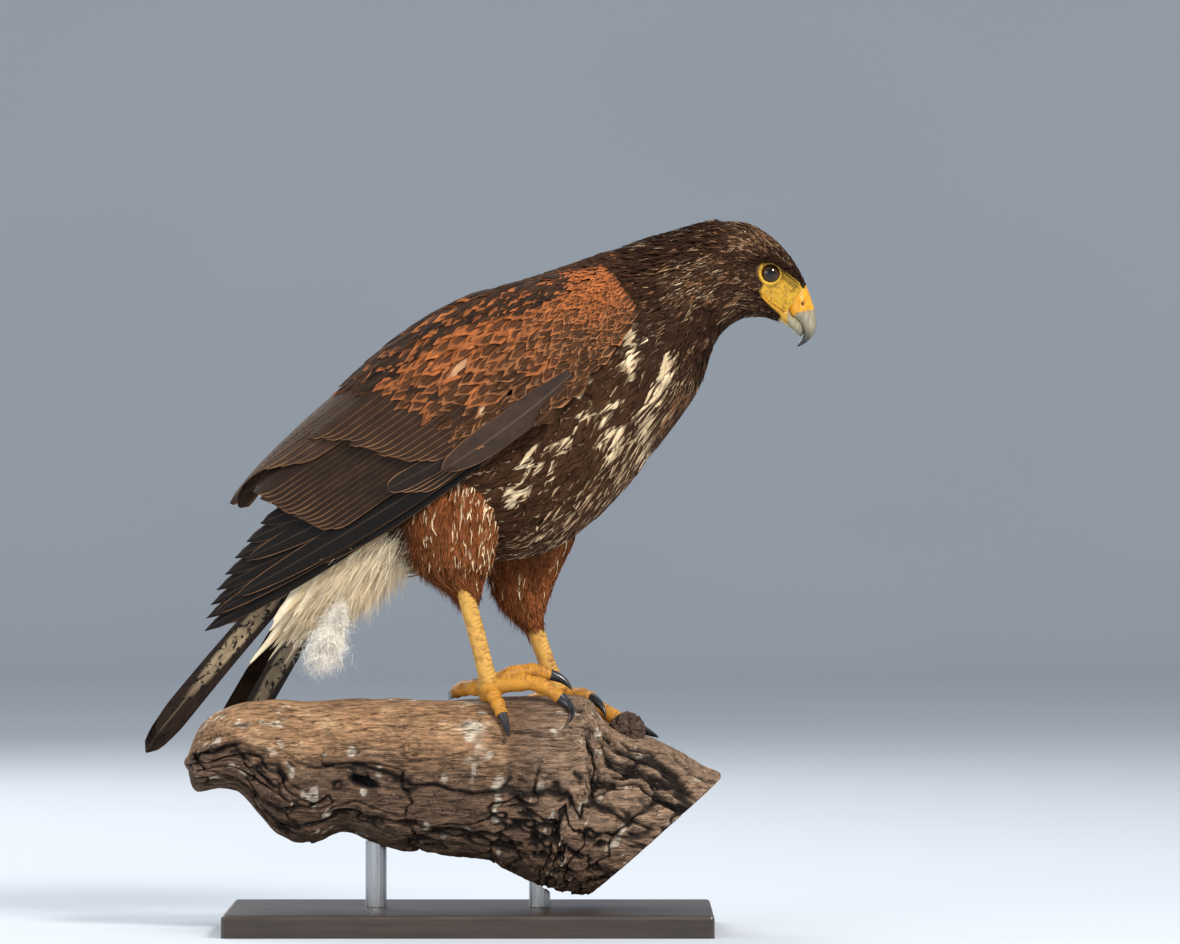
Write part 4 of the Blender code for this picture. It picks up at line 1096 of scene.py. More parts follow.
def body_colours(p, rng):
    """Tone, mark and form of body feathers at places p."""
    count = len(p)
    right = mirrored(p)
    xyz = body_surface(right)
    turn = right[:, 1]
    top = ease(turn, 0.70, 0.80)
    belly = 1 - ease(turn, 0.53, 0.66)
    neck = ease(p[:, 0], 5.6, 6.8)
    chance = rng.random(count)
    tone = blend(vary(rng, DARK_BROWN, count), vary(rng, CHOCOLATE, count), neck)
    tone = blend(tone, vary(rng, GREY_BROWN * 0.75, count), top * (1 - neck) * 0.6)
    flank = noise(xyz, 16.0, 5) * 0.5 + 0.5
    mark = blend(vary(rng, CREAM * 0.9, count, 0.1), vary(rng, TAWNY, count, 0.2),
                 0.25 + 0.6 * flank)
    mark = blend(mark, vary(rng, RUFOUS * 0.8, count), top)
    start = 0.56 + 0.34 * chance
    start = start + 0.24 * ease(noise(xyz, 21.0, 8), -0.1, 0.5) * (1 - belly)
    start = np.where(belly > 0.5, 0.40 + 0.30 * chance, start) + top * 0.1
    # The front of the neck's foot is nearly black, its edge tawny.
    start = start + 0.5 * ease(near_patch(xyz, BIB), 0.3, 0.7)
    front = ease(xyz[:, 0], 134, 146) * ease(xyz[:, 2], 372, 362)
    mark = blend(mark, vary(rng, TAWNY, count), front)
    form = forms(start, 0.15)
    return tone, mark, form


def head_colours(p, rng):
    """Tone, mark and form of the neck's and head's feathers."""
    count = len(p)
    xyz = body_surface(mirrored(p))
    cheek, collar = near_patch(xyz, CHEEK), near_patch(xyz, COLLAR)
    patch = noise(xyz, 7.0, 21) * 0.5 + 0.5
    pale = 0.10 + 0.42 * cheek + 0.22 * near_patch(xyz, JAW) + 0.36 * near_patch(xyz, FOREHEAD)
    pale = pale + 0.4 * collar
    pale = np.clip(pale * (0.35 + 1.3 * patch), 0, 1)
    tone = vary(rng, CHOCOLATE, count, 0.16)
    tone = blend(tone, vary(rng, GREY_BROWN, count), 0.35 * pale)
    cream = rng.random(count) ** 2.2 * (0.55 + 0.45 * np.clip(cheek + collar, 0, 1))
    mark = blend(vary(rng, TAWNY, count, 0.2), vary(rng, CREAM * 0.9, count, 0.2), cream)
    lit = rng.random(count) < pale
    start = np.where(lit, 0.35 + 0.4 * rng.random(count), 0.92 + 0.3 * rng.random(count))
    mark = np.where(lit[:, None], mark, vary(rng, GREY_BROWN, count))
    form = forms(start, 0.0)
    return tone, mark, form


def body_depth(row):
    """How far the skin lies under the coat's face."""
    return np.interp(row, (0, 6, 9.5, 11, 14, 16), (4.6, 4.4, 3.4, 1.9, 1.2, 0.5))


def body_uv(p):
    return np.stack([0.02 + 0.96 * np.clip(p[:, 0] / FACE_ROW, 0, 1),
                     0.02 + 0.96 * (p[:, 1] % 1.0)], 1)


def make_body_coat(feather, rng):
    """Back and rump, then breast, belly and flanks, whose feathers are longer."""
    roots = scatter_body(0.02, 7.2, lambda row: 4.6 - 0.13 * row, rng, row_share=1.3)
    roots = roots[~under_wing(body_surface(roots))]
    below = mirrored(roots)[:, 1] < 0.74
    for name, part in (("back", ~below), ("breast", below)):
        coat = Coat("coat_" + name, feather, "plumage")
        places = roots[part]
        count = len(places)
        turn = mirrored(places)[:, 1]
        belly = 1 - ease(turn, 0.55, 0.72)
        length = (20.0 + 8.0 * belly) * uneven(rng, count, 0.10)
        width = (10.0 - 0.8 * belly) * uneven(rng, count, 0.12)
        lie = Lie(rows=7, columns=9 if name == "breast" else 7, sink=body_depth(places[:, 0]) * 0.9,
                  lift=0.55, taper=0.6, ragged=0.05, point=0.25, base=0.5, scatter=6.0, roll=8.0,
                  blunt=0.32, cut=0.26, crown=0.16)
        grid, leaf = lay(body_surface, places, ROW_STEPS, (0, -1), length, width, lie, rng,
                         bounds=BODY_BOUNDS)
        tone, mark, form = body_colours(places, rng)
        tone, mark = streaked(grid, tone, mark, turn, rng)
        coat.add(grid, leaf, tone, mark, form, body_uv(places))
        coat.build()


def make_neck_coat(feather, rng):
    coat = Coat("coat_neck", feather, "plumage")
    roots = scatter_body(6.3, 10.9, lambda row: np.interp(row, (6.3, 11), (2.7, 1.55)), rng, 1.05)
    count = len(roots)
    nape = ease(np.cos(2 * np.pi * roots[:, 1]), 0.2, 0.9) * ease(roots[:, 0], 7.2, 8.6)
    long = np.interp(roots[:, 0], (6.4, 11.0), (17.0, 9.5))
    wide = np.interp(roots[:, 0], (6.4, 11.0), (3.7, 1.7))
    lie = Lie(rows=6, columns=5, sink=body_depth(roots[:, 0]) * 0.9, lift=0.35 + 2.3 * nape,
              taper=0.45, ragged=0.06, point=0.7, base=0.5, scatter=8.0, roll=12.0, blunt=0.2,
              cut=0.2)
    grid, leaf = lay(head_surface, roots, ROW_STEPS, (0, -1),
                     long * uneven(rng, count, 0.14), wide * uneven(rng, count, 0.14),
                     lie, rng, bounds=BODY_BOUNDS)
    tone_a, mark_a, form_a = head_colours(roots, rng)
    tone_b, mark_b, form_b = body_colours(roots, rng)
    share = ease(roots[:, 0] + rng.normal(0, 0.3, count), 6.7, 7.8)
    tone, mark = streaked(grid, blend(tone_b, tone_a, share), blend(mark_b, mark_a, share),
                          mirrored(roots)[:, 1], rng)
    coat.add(grid, leaf, tone, mark, blend(form_b, form_a, share), body_uv(roots))
    return coat.build()


BROW_FEATHERS = 420


def add_brow(coat, sign, rng):
    """Feathers of the brow, which lean out over the eye."""
    count = BROW_FEATHERS
    along = rng.uniform(0, 1, count)
    line = rows_at(np.array(BROW_LINE), 0.8 + 3.9 * along)
    high = rng.uniform(0, 1, count)
    near = np.exp(-(((line[:, 0] - 198) / 6.5) ** 2))
    out = 0.9 * near + np.interp(line[:, 0], (190, 197, 204, 210, 220),
                                 (23.6, 24.0, 21.8, 17.4, 9.4))
    start = np.stack([line[:, 0] + 3.2 + high,
                      middle_y(EYE_X) + sign * (out - 2.2 * high - 0.4),
                      line[:, 1] - 3.4 + 3.4 * high - 1.5 * near], 1)
    aims = np.stack([-0.86 + 0 * along, sign * (0.22 - 0.1 * high), 0.52 - 0.25 * along], 1)
    aims = aims + rng.normal(0, 0.07, (count, 3))
    grid, leaf = strands(start, aims, rng.uniform(3.0, 5.0, count),
                         rng.uniform(0.6, 1.0, count),
                         0.0, rng, rows=5)
    tone = vary(rng, CHOCOLATE * 0.8, count, 0.2)
    sheet = np.tile((0.86, 0.3 if sign < 0 else 0.7), (count, 1))
    coat.add(grid, leaf, tone, vary(rng, TAWNY, count), np.tile((1.6, 0.0, 0.0), (count, 1)),
             sheet + rng.normal(0, 0.01, (count, 2)))


def make_head_coat(feather, rng):
    """Short narrow feathers, smallest on the face; the bare skin stays free of them."""
    coat = Coat("coat_head", feather, "plumage")
    roots = scatter_body(
        10.5, 15.97, lambda row: np.interp(row, (10.5, 13, 16), (1.55, 1.15, 0.85)), rng)
    xyz = head_surface(roots)
    bare = inside_distance(seen(xyz), BARE_SKIN)
    near_middle = np.abs(xyz[:, 1] - middle_y(xyz[:, 0])) < 5.0
    chin = near_middle & (xyz[:, 2] < 410)
    eye = np.hypot(xyz[:, 0] - EYE_X, xyz[:, 2] - EYE_Z)
    roots = roots[((bare < 0.15) & (eye > 8.0)) | (near_middle & ~chin & (xyz[:, 2] > 425))]
    count = len(roots)
    long = np.interp(roots[:, 0], (10.5, 13.0, 16.0), (8.5, 5.8, 3.0))
    wide = np.interp(roots[:, 0], (10.5, 13.0, 16.0), (1.9, 1.4, 0.9))
    lie = Lie(rows=5, columns=3, sink=body_depth(roots[:, 0]) * 0.8, lift=0.25, taper=0.4,
              ragged=0.04, point=0.8, base=0.5, scatter=12.0, roll=16.0)
    grid, leaf = lay(head_surface, roots, ROW_STEPS, (0, -1),
                     long * uneven(rng, count, 0.17), wide * uneven(rng, count, 0.15),
                     lie, rng, bounds=BODY_BOUNDS)
    tone, mark, form = head_colours(roots, rng)
    coat.add(grid, leaf, tone, mark, form, body_uv(roots))
    for sign in (-1, 1):
        add_brow(coat, sign, rng)
    return coat.build()


# Wings.


def wing_uv(p):
    return np.stack([0.02 + 0.96 * (p[:, 0] + 25) / 400, 0.02 + 0.96 * (p[:, 1] + 25) / 125], 1)


def make_wing_coverts(sign, feather, rng):
    """Small feathers of the arm: tiny and rufous in front and above, larger and browner below."""
    coat = Coat("coat_wing_" + SIDES[sign], feather, "wing")
    surface = wing_surface(sign)
    rows = []
    a = -14.0
    odd = 0
    sizes = ((-13, 8, 34, 80, 150), (3.1, 4.2, 6.2, 8.6, 9.2))
    while a < 150.0:
        low, high = (float(v) for v in sheet_limits(np.array([a])).ravel())
        b = low - 2.0
        start = 0.5 * (odd % 2)
        while b < high + 9.0:
            rel = (b - low) / (high - low)
            size = np.interp(a, *sizes) * (1.10 - 0.34 * np.clip(rel, 0, 1))
            rows.append((a, b + start * size, size, rel))
            b += 0.82 * size
        a += 0.70 * np.interp(a, *sizes)
        odd += 1
    table = np.array(rows)
    # The last rows thin out into the coverts that are long feathers of their own.
    end = 106 + 44 * np.clip(table[:, 3], 0, 1)
    table = table[table[:, 0] < end + rng.normal(0, 2, len(table))]
    # The alula is the wing's lower edge, and the scapulars hide its upper one.
    kept = ~((table[:, 0] > 62) & (table[:, 1] < -6)) & ((table[:, 3] < 0.95) | (table[:, 0] < 10))
    table = table[kept]
    count = len(table)
    roots = table[:, :2] + rng.normal(0, 0.20, (count, 2)) * table[:, 2:3]
    size, rel = table[:, 2], np.clip(table[:, 3], 0, 1)
    long = size * 2.6 * uneven(rng, count, 0.10)
    wide = size * 1.38 * uneven(rng, count, 0.12)
    lie = Lie(rows=8, columns=7, sink=1.6, lift=0.45 + size * 0.10, taper=0.6, ragged=0.025,
              point=0.30, base=0.5, scatter=8.0, crown=0.15, blunt=0.26, cut=0.18, roll=7.0)
    grid, leaf = lay(surface, roots, SHEET_STEPS, (0, 1), long, wide, lie, rng, swing=-sign * 6.0,
                     outward=sign, bounds=WING_BOUNDS)
    place = surface(roots)
    drift = noise(place, 20.0, 31) * 0.28 + rng.normal(0, 0.12, count)
    front = ease(-roots[:, 0], -26, -4)
    rusty = np.clip(1.30 * rel - 0.12 + drift + 0.40 * front - 0.0011 * roots[:, 0], 0, 1)
    tone = blend(vary(rng, DARK_BROWN * 1.05, count), vary(rng, DEEP_RUFOUS * 0.8, count),
                 rusty * 0.75)
    mark = blend(vary(rng, TAN * 0.66, count, 0.2), vary(rng, RUFOUS * 1.16, count, 0.2),
                 0.25 + rusty)
    start = 0.78 - 0.50 * rusty + rng.normal(0, 0.09, count)
    spotted = (rng.random(count) < 0.02) & (roots[:, 0] > 40) & (rel < 0.7)
    tone = np.where(spotted[:, None], blend(vary(rng, CREAM, count), vary(rng, TAN, count),
                                            rng.random(count)), tone)
    form = forms(start, 0.75)
    coat.add(grid, leaf, tone, mark, form, wing_uv(roots))
    return coat.build()


VANE_THICK = 0.35


def vane(surface, outward, root, tip, half, heights, rng, bow=0.0, point=0.75, base=0.45,
         rows=26, columns=9, camber=0.10, notch=0.0):
    """A long feather on a sheet: its upper and lower faces as two grids."""
    root, tip = np.array(root, float), np.array(tip, float)
    along = unit(tip - root)
    across = np.array((-along[1], along[0]))
    v = np.linspace(0, 1, rows) ** 0.94
    u = np.linspace(-1, 1, columns)
    width = base + (1 - base) * np.sin(np.minimum(v / 0.45, 1) * np.pi / 2)
    after = np.clip((v - point) / (1 - point), 0, 1)
    width = np.where(v > point, np.sqrt(1 - after**2), width)
    width = np.maximum(width, 0.05) * half
    centre = root + np.outer(v, tip - root) + np.outer(4 * v * (1 - v) * bow, across)
    splits = np.zeros((rows, columns))
    if notch:
        splits = rng.normal(0, notch, (rows, 1)) * np.abs(u)[None, :] ** 2
    places = centre[:, None, :] + (width[:, None] * u[None, :])[..., None] * across
    places = places + splits[..., None] * along
    flat = places.reshape(-1, 2)
    du, dv = slopes(surface, flat, (0.5, 0.5))
    normal = unit(np.cross(du, dv)) * outward
    level = np.linspace(heights[0], heights[1], columns)[None, :] - camber * half * (u**2)[None, :]
    ridge = 0.28 * np.exp(-((u / 0.12) ** 2))[None, :] * (1 - v)[:, None]
    level = (level + 0 * v[:, None]).reshape(-1, 1)
    base_points = surface(flat)
    upper = base_points + normal * (level + ridge.reshape(-1, 1) + VANE_THICK / 2)
    lower = base_points + normal * (level - VANE_THICK / 2)
    leaf = np.stack(np.broadcast_arrays(u[None, :], v[:, None], rng.random()), -1)
    shape = (1, rows, columns, 3)
    return upper.reshape(shape), lower.reshape(shape), leaf[None]


def add_vane(coat, place, uv, upper_colours, lower_colours):
    """Both faces of a long feather, each with its own tone, mark and form."""
    upper, lower, leaf = place
    for grid, colours, down in ((upper, upper_colours, False), (lower, lower_colours, True)):
        tone, mark, form = (np.asarray(c, float)[None, :] for c in colours)
        coat.add(grid, leaf, tone, mark, form, uv, flip=down)


# Each primary: its tip and root on the wing's sheet, half width and height, the deepest first.
PRIMARIES = (
    ((346, 1), (112, -10), 9.0, -12.6),
    ((340, 8), (113, -7), 9.0, -11.9),
    ((332, 14), (114, -5), 9.0, -11.2),
    ((323, 20), (115, -3), 9.2, -10.4),
    ((312, 25), (116, -1), 9.4, -9.6),
    ((300, 30), (118, 1), 9.6, -8.8),
    ((287, 34), (120, 3), 10.0, -8.0),
    ((272, 38), (122, 4), 10.4, -7.2),
    ((333, 6), (112, -11), 8.0, -8.4),
    ((294, 23), (118, -2), 8.6, -6.8),
    ((258, -8), (100, -13), 7.0, -9.6),
    ((313, 6), (108, -11), 8.6, -5.6),
)


def make_flight_feathers(sign, feather, rng):
    """Primaries lowest, then secondaries and tertials, then the greater coverts and the alula."""
    coat = Coat("feathers_wing_" + SIDES[sign], feather, "wing")
    surface = wing_surface(sign)

    def put(root, tip, half, heights, tone, mark, start, shaft=0.5, **shape):
        place = vane(surface, sign, root, tip, half, heights, rng, **shape)
        shade = 1 + rng.normal(0, 0.08)
        above = (tone * shade, mark * shade, (start, shaft, 0.0))
        below = (GREY_BROWN * 0.6, TAWNY * 0.4, (0.9, 0.6, 0.0))
        add_vane(coat, place, wing_uv(np.array([root], float)), above, below)

    for i, (tip, root, half, level) in enumerate(PRIMARIES):
        edge = TAN * 0.4 if i > 7 else GREY_BROWN * 0.6
        put(root, tip, half, (level + 0.5, level - 0.5), BLACK_BROWN * 0.4, edge, 0.98,
            bow=-2.5, point=0.55, base=0.5, notch=0.15, shaft=0.45)
    count = 14
    for i in range(count):
        share = i / (count - 1)
        root = (122 + 38 * share, 4 + 47 * share)
        tip = (237 + 26 * share**0.6 + rng.normal(0, 1.4), 9 + 49 * share)
        put(root, tip, 9.6, (-2.9, -6.0), DARK_BROWN * 0.5, TAN * 0.34, 0.98,
            bow=1.5, point=0.86, base=0.6, notch=0.2, shaft=0.3)
    for i in range(6):
        root = (120 + 4 * i, 52 + 5 * i)
        tip = (232 + 9 * i, 60 + 4.2 * i)
        put(root, tip, 11.0, (-1.6 + 0.4 * i, -3.6 + 0.4 * i), GREY_BROWN * 0.6, TAN * 0.36, 0.97,
            bow=1.0, point=0.80, base=0.6, notch=0.3, shaft=0.4)
    count = 15
    for i in range(count):
        share = i / (count - 1)
        root = (98 + 42 * share, 0 + 62 * share)
        tip = (160 + 48 * share + rng.normal(0, 1.6), 5 + 57 * share)
        put(root, tip, 7.4, (0.6, -1.8), DARK_BROWN * 0.8, TAN * 0.46, 0.955,
            bow=0.8, point=0.76, base=0.6, rows=18, notch=0.2, shaft=0.4)
    for i in range(4):
        put((96 + 7 * i, -5), (174 + 5 * i, -9 + 4 * i), 6.5, (-4.2 + i, -4.6 + i),
            BLACK_BROWN * 1.2,
            TAN * 0.55, 0.95, bow=-1.0, point=0.8, rows=18, notch=0.2)
    put((46, -8), (150, -9), 9.2, (-1.4, 3.8), srgb(60, 44, 36), TAN * 0.4, 0.985, shaft=1.0,
        bow=-2.5, point=0.66, notch=0.15)
    return coat.build()


def make_scapulars(sign, feather, rng):
    """Brown feathers from the shoulder back over the wing's upper edge."""
    coat = Coat("coat_scapulars_" + SIDES[sign], feather, "wing")
    surface = wing_surface(sign)
    rows = []
    for a in np.arange(4.0, 142.0, 5.6):
        low, high = (float(v) for v in sheet_limits(np.array([a])).ravel())
        for j, rel in enumerate((0.84, 0.91, 0.98, 1.05)):
            rows.append((a + 2.8 * (j % 2), low + (high - low) * rel, rel))
    table = np.array(rows)
    count = len(table)
    roots = table[:, :2] + rng.normal(0, 0.9, (count, 2))
    long = np.interp(roots[:, 0], (0, 140), (17, 38)) * uneven(rng, count, 0.07)
    wide = np.interp(roots[:, 0], (0, 140), (9, 15)) * uneven(rng, count, 0.07)
    lie = Lie(rows=10, columns=9, sink=0.8, lift=1.1, taper=0.6, ragged=0.02, point=0.35,
              base=0.5, scatter=5.0, blunt=0.2, cut=0.14, crown=0.16)
    grid, leaf = lay(surface, roots, SHEET_STEPS, (0, 1), long, wide, lie, rng,
                     outward=sign, bounds=WING_BOUNDS)
    tone = blend(vary(rng, BLACK_BROWN * 1.25, count, 0.14), vary(rng, DARK_BROWN, count, 0.14),
                 rng.random(count))
    mark = blend(vary(rng, RUFOUS * 0.8, count), vary(rng, GREY_BROWN, count), rng.random(count))
    form = forms(0.88 + 0.14 * rng.random(count), 0.4)
    coat.add(grid, leaf, tone, mark, form, wing_uv(roots))
    return coat.build()


# The tail.


def tail_uv(p):
    return np.stack([0.02 + 0.96 * (p[:, 0] + 20) / 280, 0.02 + 0.96 * (p[:, 1] + 60) / 120], 1)


def make_tail_feathers(feather, rng):
    """Twelve tail feathers in two stacks, the outer ones lowest: pale and barred below."""
    coat = Coat("feathers_tail", feather, "tail")
    surface = tail_surface()
    for sign in (-1, 1):
        for i in range(6):
            spread = (i - 2.5) / 2.5
            angle = sign * (TAIL_GROUP_ANGLE + TAIL_FEATHER_ANGLE * spread)
            length = TAIL_LENGTH - 5.0 * abs(i - 1.5) + rng.uniform(-1.5, 1.5)
            root = (8.0, sign * (1.6 + 1.1 * i))
            tip = (length * math.cos(angle), length * math.sin(angle) + sign * 1.6)
            level = 3.6 - 1.15 * i - (0.4 if sign > 0 else 0.0)
            place = vane(surface, -1.0, root, tip, TAIL_FEATHER_HALF, (level, level), rng,
                         point=0.88, base=0.4, rows=40, columns=11, camber=0.05, notch=0.3)
            above = (DARK_BROWN * 0.8, GREY_BROWN, (0.94, 0.5, 0.5))
            below = (BUFF, DARK_BROWN * 0.7, (0.60, 0.5, 1.0))
            add_vane(coat, place, tail_uv(np.array([root])), above, below)
    return coat.build()


def make_tail_coverts(feather, rng):
    """Short feathers over the tail's root."""
    coat = Coat("coat_tail_root", feather, "tail")
    surface = tail_surface(5.0)
    rows = [(a, b) for a in np.arange(-22.0, 34.0, 6.0) for b in np.arange(-17.0, 18.0, 6.0)]
    roots = np.array(rows) + rng.normal(0, 1.2, (len(rows), 2))
    count = len(roots)
    lie = Lie(rows=8, columns=7, sink=5.0, lift=-0.5, taper=0.6, ragged=0.03, point=0.3, base=0.5)
    grid, leaf = lay(surface, roots, SHEET_STEPS, (0, 1), 34 * uneven(rng, count, 0.1),
                     14 * uneven(rng, count, 0.1), lie, rng, outward=-1.0)
    tone = blend(vary(rng, DARK_BROWN, count), vary(rng, CREAM, count),
                 (rng.random(count) < 0.3) * 0.8)
    mark = vary(rng, TAN, count)
    form = forms(0.8 + 0.2 * rng.random(count), 0.3)
    coat.add(grid, leaf, tone, mark, form, tail_uv(roots))
    return coat.build()


def strands(roots, aims, lengths, widths, fall, rng, rows=7, wave=0.05):
    """Thin soft ribbons from roots along aims, which bend down by fall."""
    count = len(roots)
    v = np.linspace(0, 1, rows)
    aims = unit(aims)
    side = unit(np.cross(aims, unit(rng.normal(0, 1, (count, 3)))))
    other = np.cross(aims, side)
    lengths = np.reshape(lengths, (-1, 1, 1))
    bend = rng.normal(0, wave, (count, 1, 1)) * lengths
    bend_two = rng.normal(0, wave, (count, 1, 1)) * lengths
    spine = (
        roots[:, None, :]
        + aims[:, None, :] * v[None, :, None] * lengths
        + side[:, None, :] * bend * (v**2)[None, :, None]
        + other[:, None, :] * bend_two * (v**1.5)[None, :, None]
    )
    spine[..., 2] -= np.reshape(fall, (-1, 1)) * (v**2)[None, :]
    half = np.reshape(widths, (-1, 1, 1)) / 2 * (1 - 0.8 * v)[None, :, None]
    grid = np.stack([spine - side[:, None, :] * half, spine + side[:, None, :] * half], 2)
    leaf = np.stack(
        np.broadcast_arrays(
            np.array([-0.4, 0.4])[None, None, :],
            0.5 + 0.3 * v[None, :, None],
            rng.random((count, 1, 1)),
        ),
        -1,
    )
    return grid, leaf


# The ball of down, and the top of the stem that it hangs by.
FLUFF_CENTRE = (-97.0, -4.0, 181.0)
FLUFF_STEM = (-84.0, -3.0, 216.0)


# Tiers of long soft feathers: start and end along the tail, height, half spread and how many.
UNDERTAIL_TIERS = (
    (-6, 58, -29, 17, 10), (6, 70, -27, 18, 11), (16, 84, -22, 18, 11), (26, 98, -16, 18, 10),
    (36, 112, -11, 16, 9), (48, 126, -6, 12, 7),
)


FLUFF_STRANDS = 9000


def add_fluff(coat, rng):
    """The ball of down, and the stem of down that it hangs from."""
    count = FLUFF_STRANDS
    share = rng.random(count) ** 0.8
    stem, ball = np.array(FLUFF_STEM), np.array(FLUFF_CENTRE)
    stray = rng.normal(0, 1.0, (count, 3)) * (1.5 + 4.6 * share[:, None])
    start = stem + np.outer(share, ball - stem) + stray
    aims = unit(rng.normal(0, 1.0, (count, 3)) + (ball - stem) / 30.0 * 0.8)
    long = rng.uniform(4, 9, count) * (0.7 + 0.5 * share)
    grid, leaf = strands(start, aims, long, rng.uniform(0.10, 0.24, count), 0.5, rng, rows=4,
                         wave=0.25)
    tone = vary(rng, srgb(246, 240, 228), count, 0.03)
    coat.add(grid, leaf, tone, tone, PLAIN,
             np.tile((0.6, 0.5), (count, 1)) + rng.normal(0, 0.02, (count, 2)))


UNDERTAIL_DRAWS = 13000


def make_undertail(feather, rng):
    """Long, loose cream-white feathers under the tail, with a ball of down that hangs free."""
    coat = Coat("coat_undertail", feather, "down")
    tail_at = tail_surface(UNDERTAIL_DROP)
    _, back, left, up = tail_axes()
    for start, end, level, spread, count in UNDERTAIL_TIERS:
        share = np.linspace(-1, 1, count)
        roots = np.stack([np.full(count, float(start)), spread * 0.75 * share], 1)
        roots = roots + rng.normal(0, 1.0, roots.shape)
        sheet = tail_surface(UNDERTAIL_DROP + level + 7.0)
        length = (end - start) * uneven(rng, count, 0.06)
        lie = Lie(rows=10, columns=11, sink=-3.0, lift=3.4, taper=0.5, ragged=0.06, point=0.5,
                  base=0.5, scatter=5.0, crown=0.3, roll=9.0, blunt=0.3, cut=0.3)
        grid, leaf = lay(sheet, roots, SHEET_STEPS, (0, 1), length, 18.0, lie, rng)
        tone = vary(rng, CREAM * 0.95, count, 0.05)
        coat.add(grid, leaf, tone, vary(rng, WHITE_DOWN, count, 0.04),
                 np.tile((0.6, 0.0, 0.0), (count, 1)), tail_uv(roots))
    count = UNDERTAIL_DRAWS
    along = rng.uniform(-16, 80, count)
    around = rng.uniform(-1, 1, count)
    places = np.stack([along, around * np.interp(along, (-16, 30, 80), (21, 23, 14))], 1)
    thick = np.interp(along, (-16, 22, 45, 66, 82), (37, 38, 31, 19, 8))
    arch = np.sqrt(np.clip(1 - around**2, 0, 1))
    roots3 = tail_at(places) - up * (arch * thick * rng.uniform(0.82, 0.97, count))[:, None]
    outward = -up * arch[:, None] + left * around[:, None]
    away = rng.uniform(-0.02, 0.34, count)[:, None]
    aims = back + outward * away + rng.normal(0, 0.16, (count, 3))
    grid, leaf = strands(roots3, aims, rng.uniform(9, 30, count), rng.uniform(0.22, 0.55, count),
                         rng.uniform(-1, 4, count), rng, rows=5, wave=0.14)
    warm = noise(roots3, 14.0, 52) * 0.5 + 0.5
    tone = blend(vary(rng, srgb(250, 238, 212), count, 0.04),
                 vary(rng, srgb(236, 204, 154), count, 0.05), warm * 0.6)
    dusky = rng.random(count) < 0.035
    tone = np.where(dusky[:, None], GREY_BROWN * 0.7, tone)
    coat.add(grid, leaf, tone, tone, PLAIN, tail_uv(places))
    add_fluff(coat, rng)
    return coat.build()


# Thighs.


def thigh_uv(sign, p):
    across = 0.01 + (0.5 if sign > 0 else 0.0) + 0.48 * (p[:, 1] % 1.0)
    return np.stack([0.02 + 0.96 * p[:, 0] / 5, across], 1)


def thigh_roots(surface, rng):
    """Roots in staggered rows, closer together further down."""
    roots = []
    row = 0.02
    odd = 0
    turns = np.linspace(0, 1, 121)
    while row < 4.95:
        ring = surface(np.stack([np.full(121, row), turns], 1))
        run = np.concatenate([[0], np.cumsum(np.linalg.norm(np.diff(ring, axis=0), axis=1))])
        spacing = np.interp(row, (0, 3, 5), (2.5, 2.0, 1.4))
        count = max(8, int(run[-1] / spacing))
        at = (np.arange(count) + 0.5 * (odd % 2) + rng.normal(0, 0.25, count)) / count % 1.0
        turn = np.interp(at * run[-1], run, turns)
        ahead = surface(np.stack([np.full(121, row + 0.05), turns], 1))
        gap = np.linalg.norm(ahead - ring, axis=1).mean() / 0.05
        rows = np.full(count, row) + rng.normal(0, 0.25, count) * spacing / gap
        roots.append(np.stack([rows, turn], 1))
        row += spacing / gap
        odd += 1
    return np.concatenate(roots)


FRINGE_STRANDS = 2400


def add_fringe(coat, surface, sign, rng):
    """Thin strands behind, from the middle of the thigh down."""
    count = FRINGE_STRANDS
    places = np.stack([rng.uniform(0.6, 4.8, count), 0.5 + rng.normal(0, 0.10, count)], 1)
    du, dv = slopes(surface, places, ROW_STEPS)
    normal = unit(np.cross(du, dv))
    away = rng.uniform(0.05, 0.75, count)[:, None]
    aims = unit(du) + normal * away + rng.normal(0, 0.14, (count, 3))
    grid, leaf = strands(surface(places) - normal * 1.4, aims, rng.uniform(4, 11, count),
                         rng.uniform(0.25, 0.5, count), 1.0, rng, rows=5, wave=0.12)
    tone = blend(vary(rng, DEEP_RUFOUS * 0.6, count, 0.2), vary(rng, RUFOUS * 0.7, count),
                 rng.random(count))
    coat.add(grid, leaf, tone, tone, PLAIN, thigh_uv(sign, places))


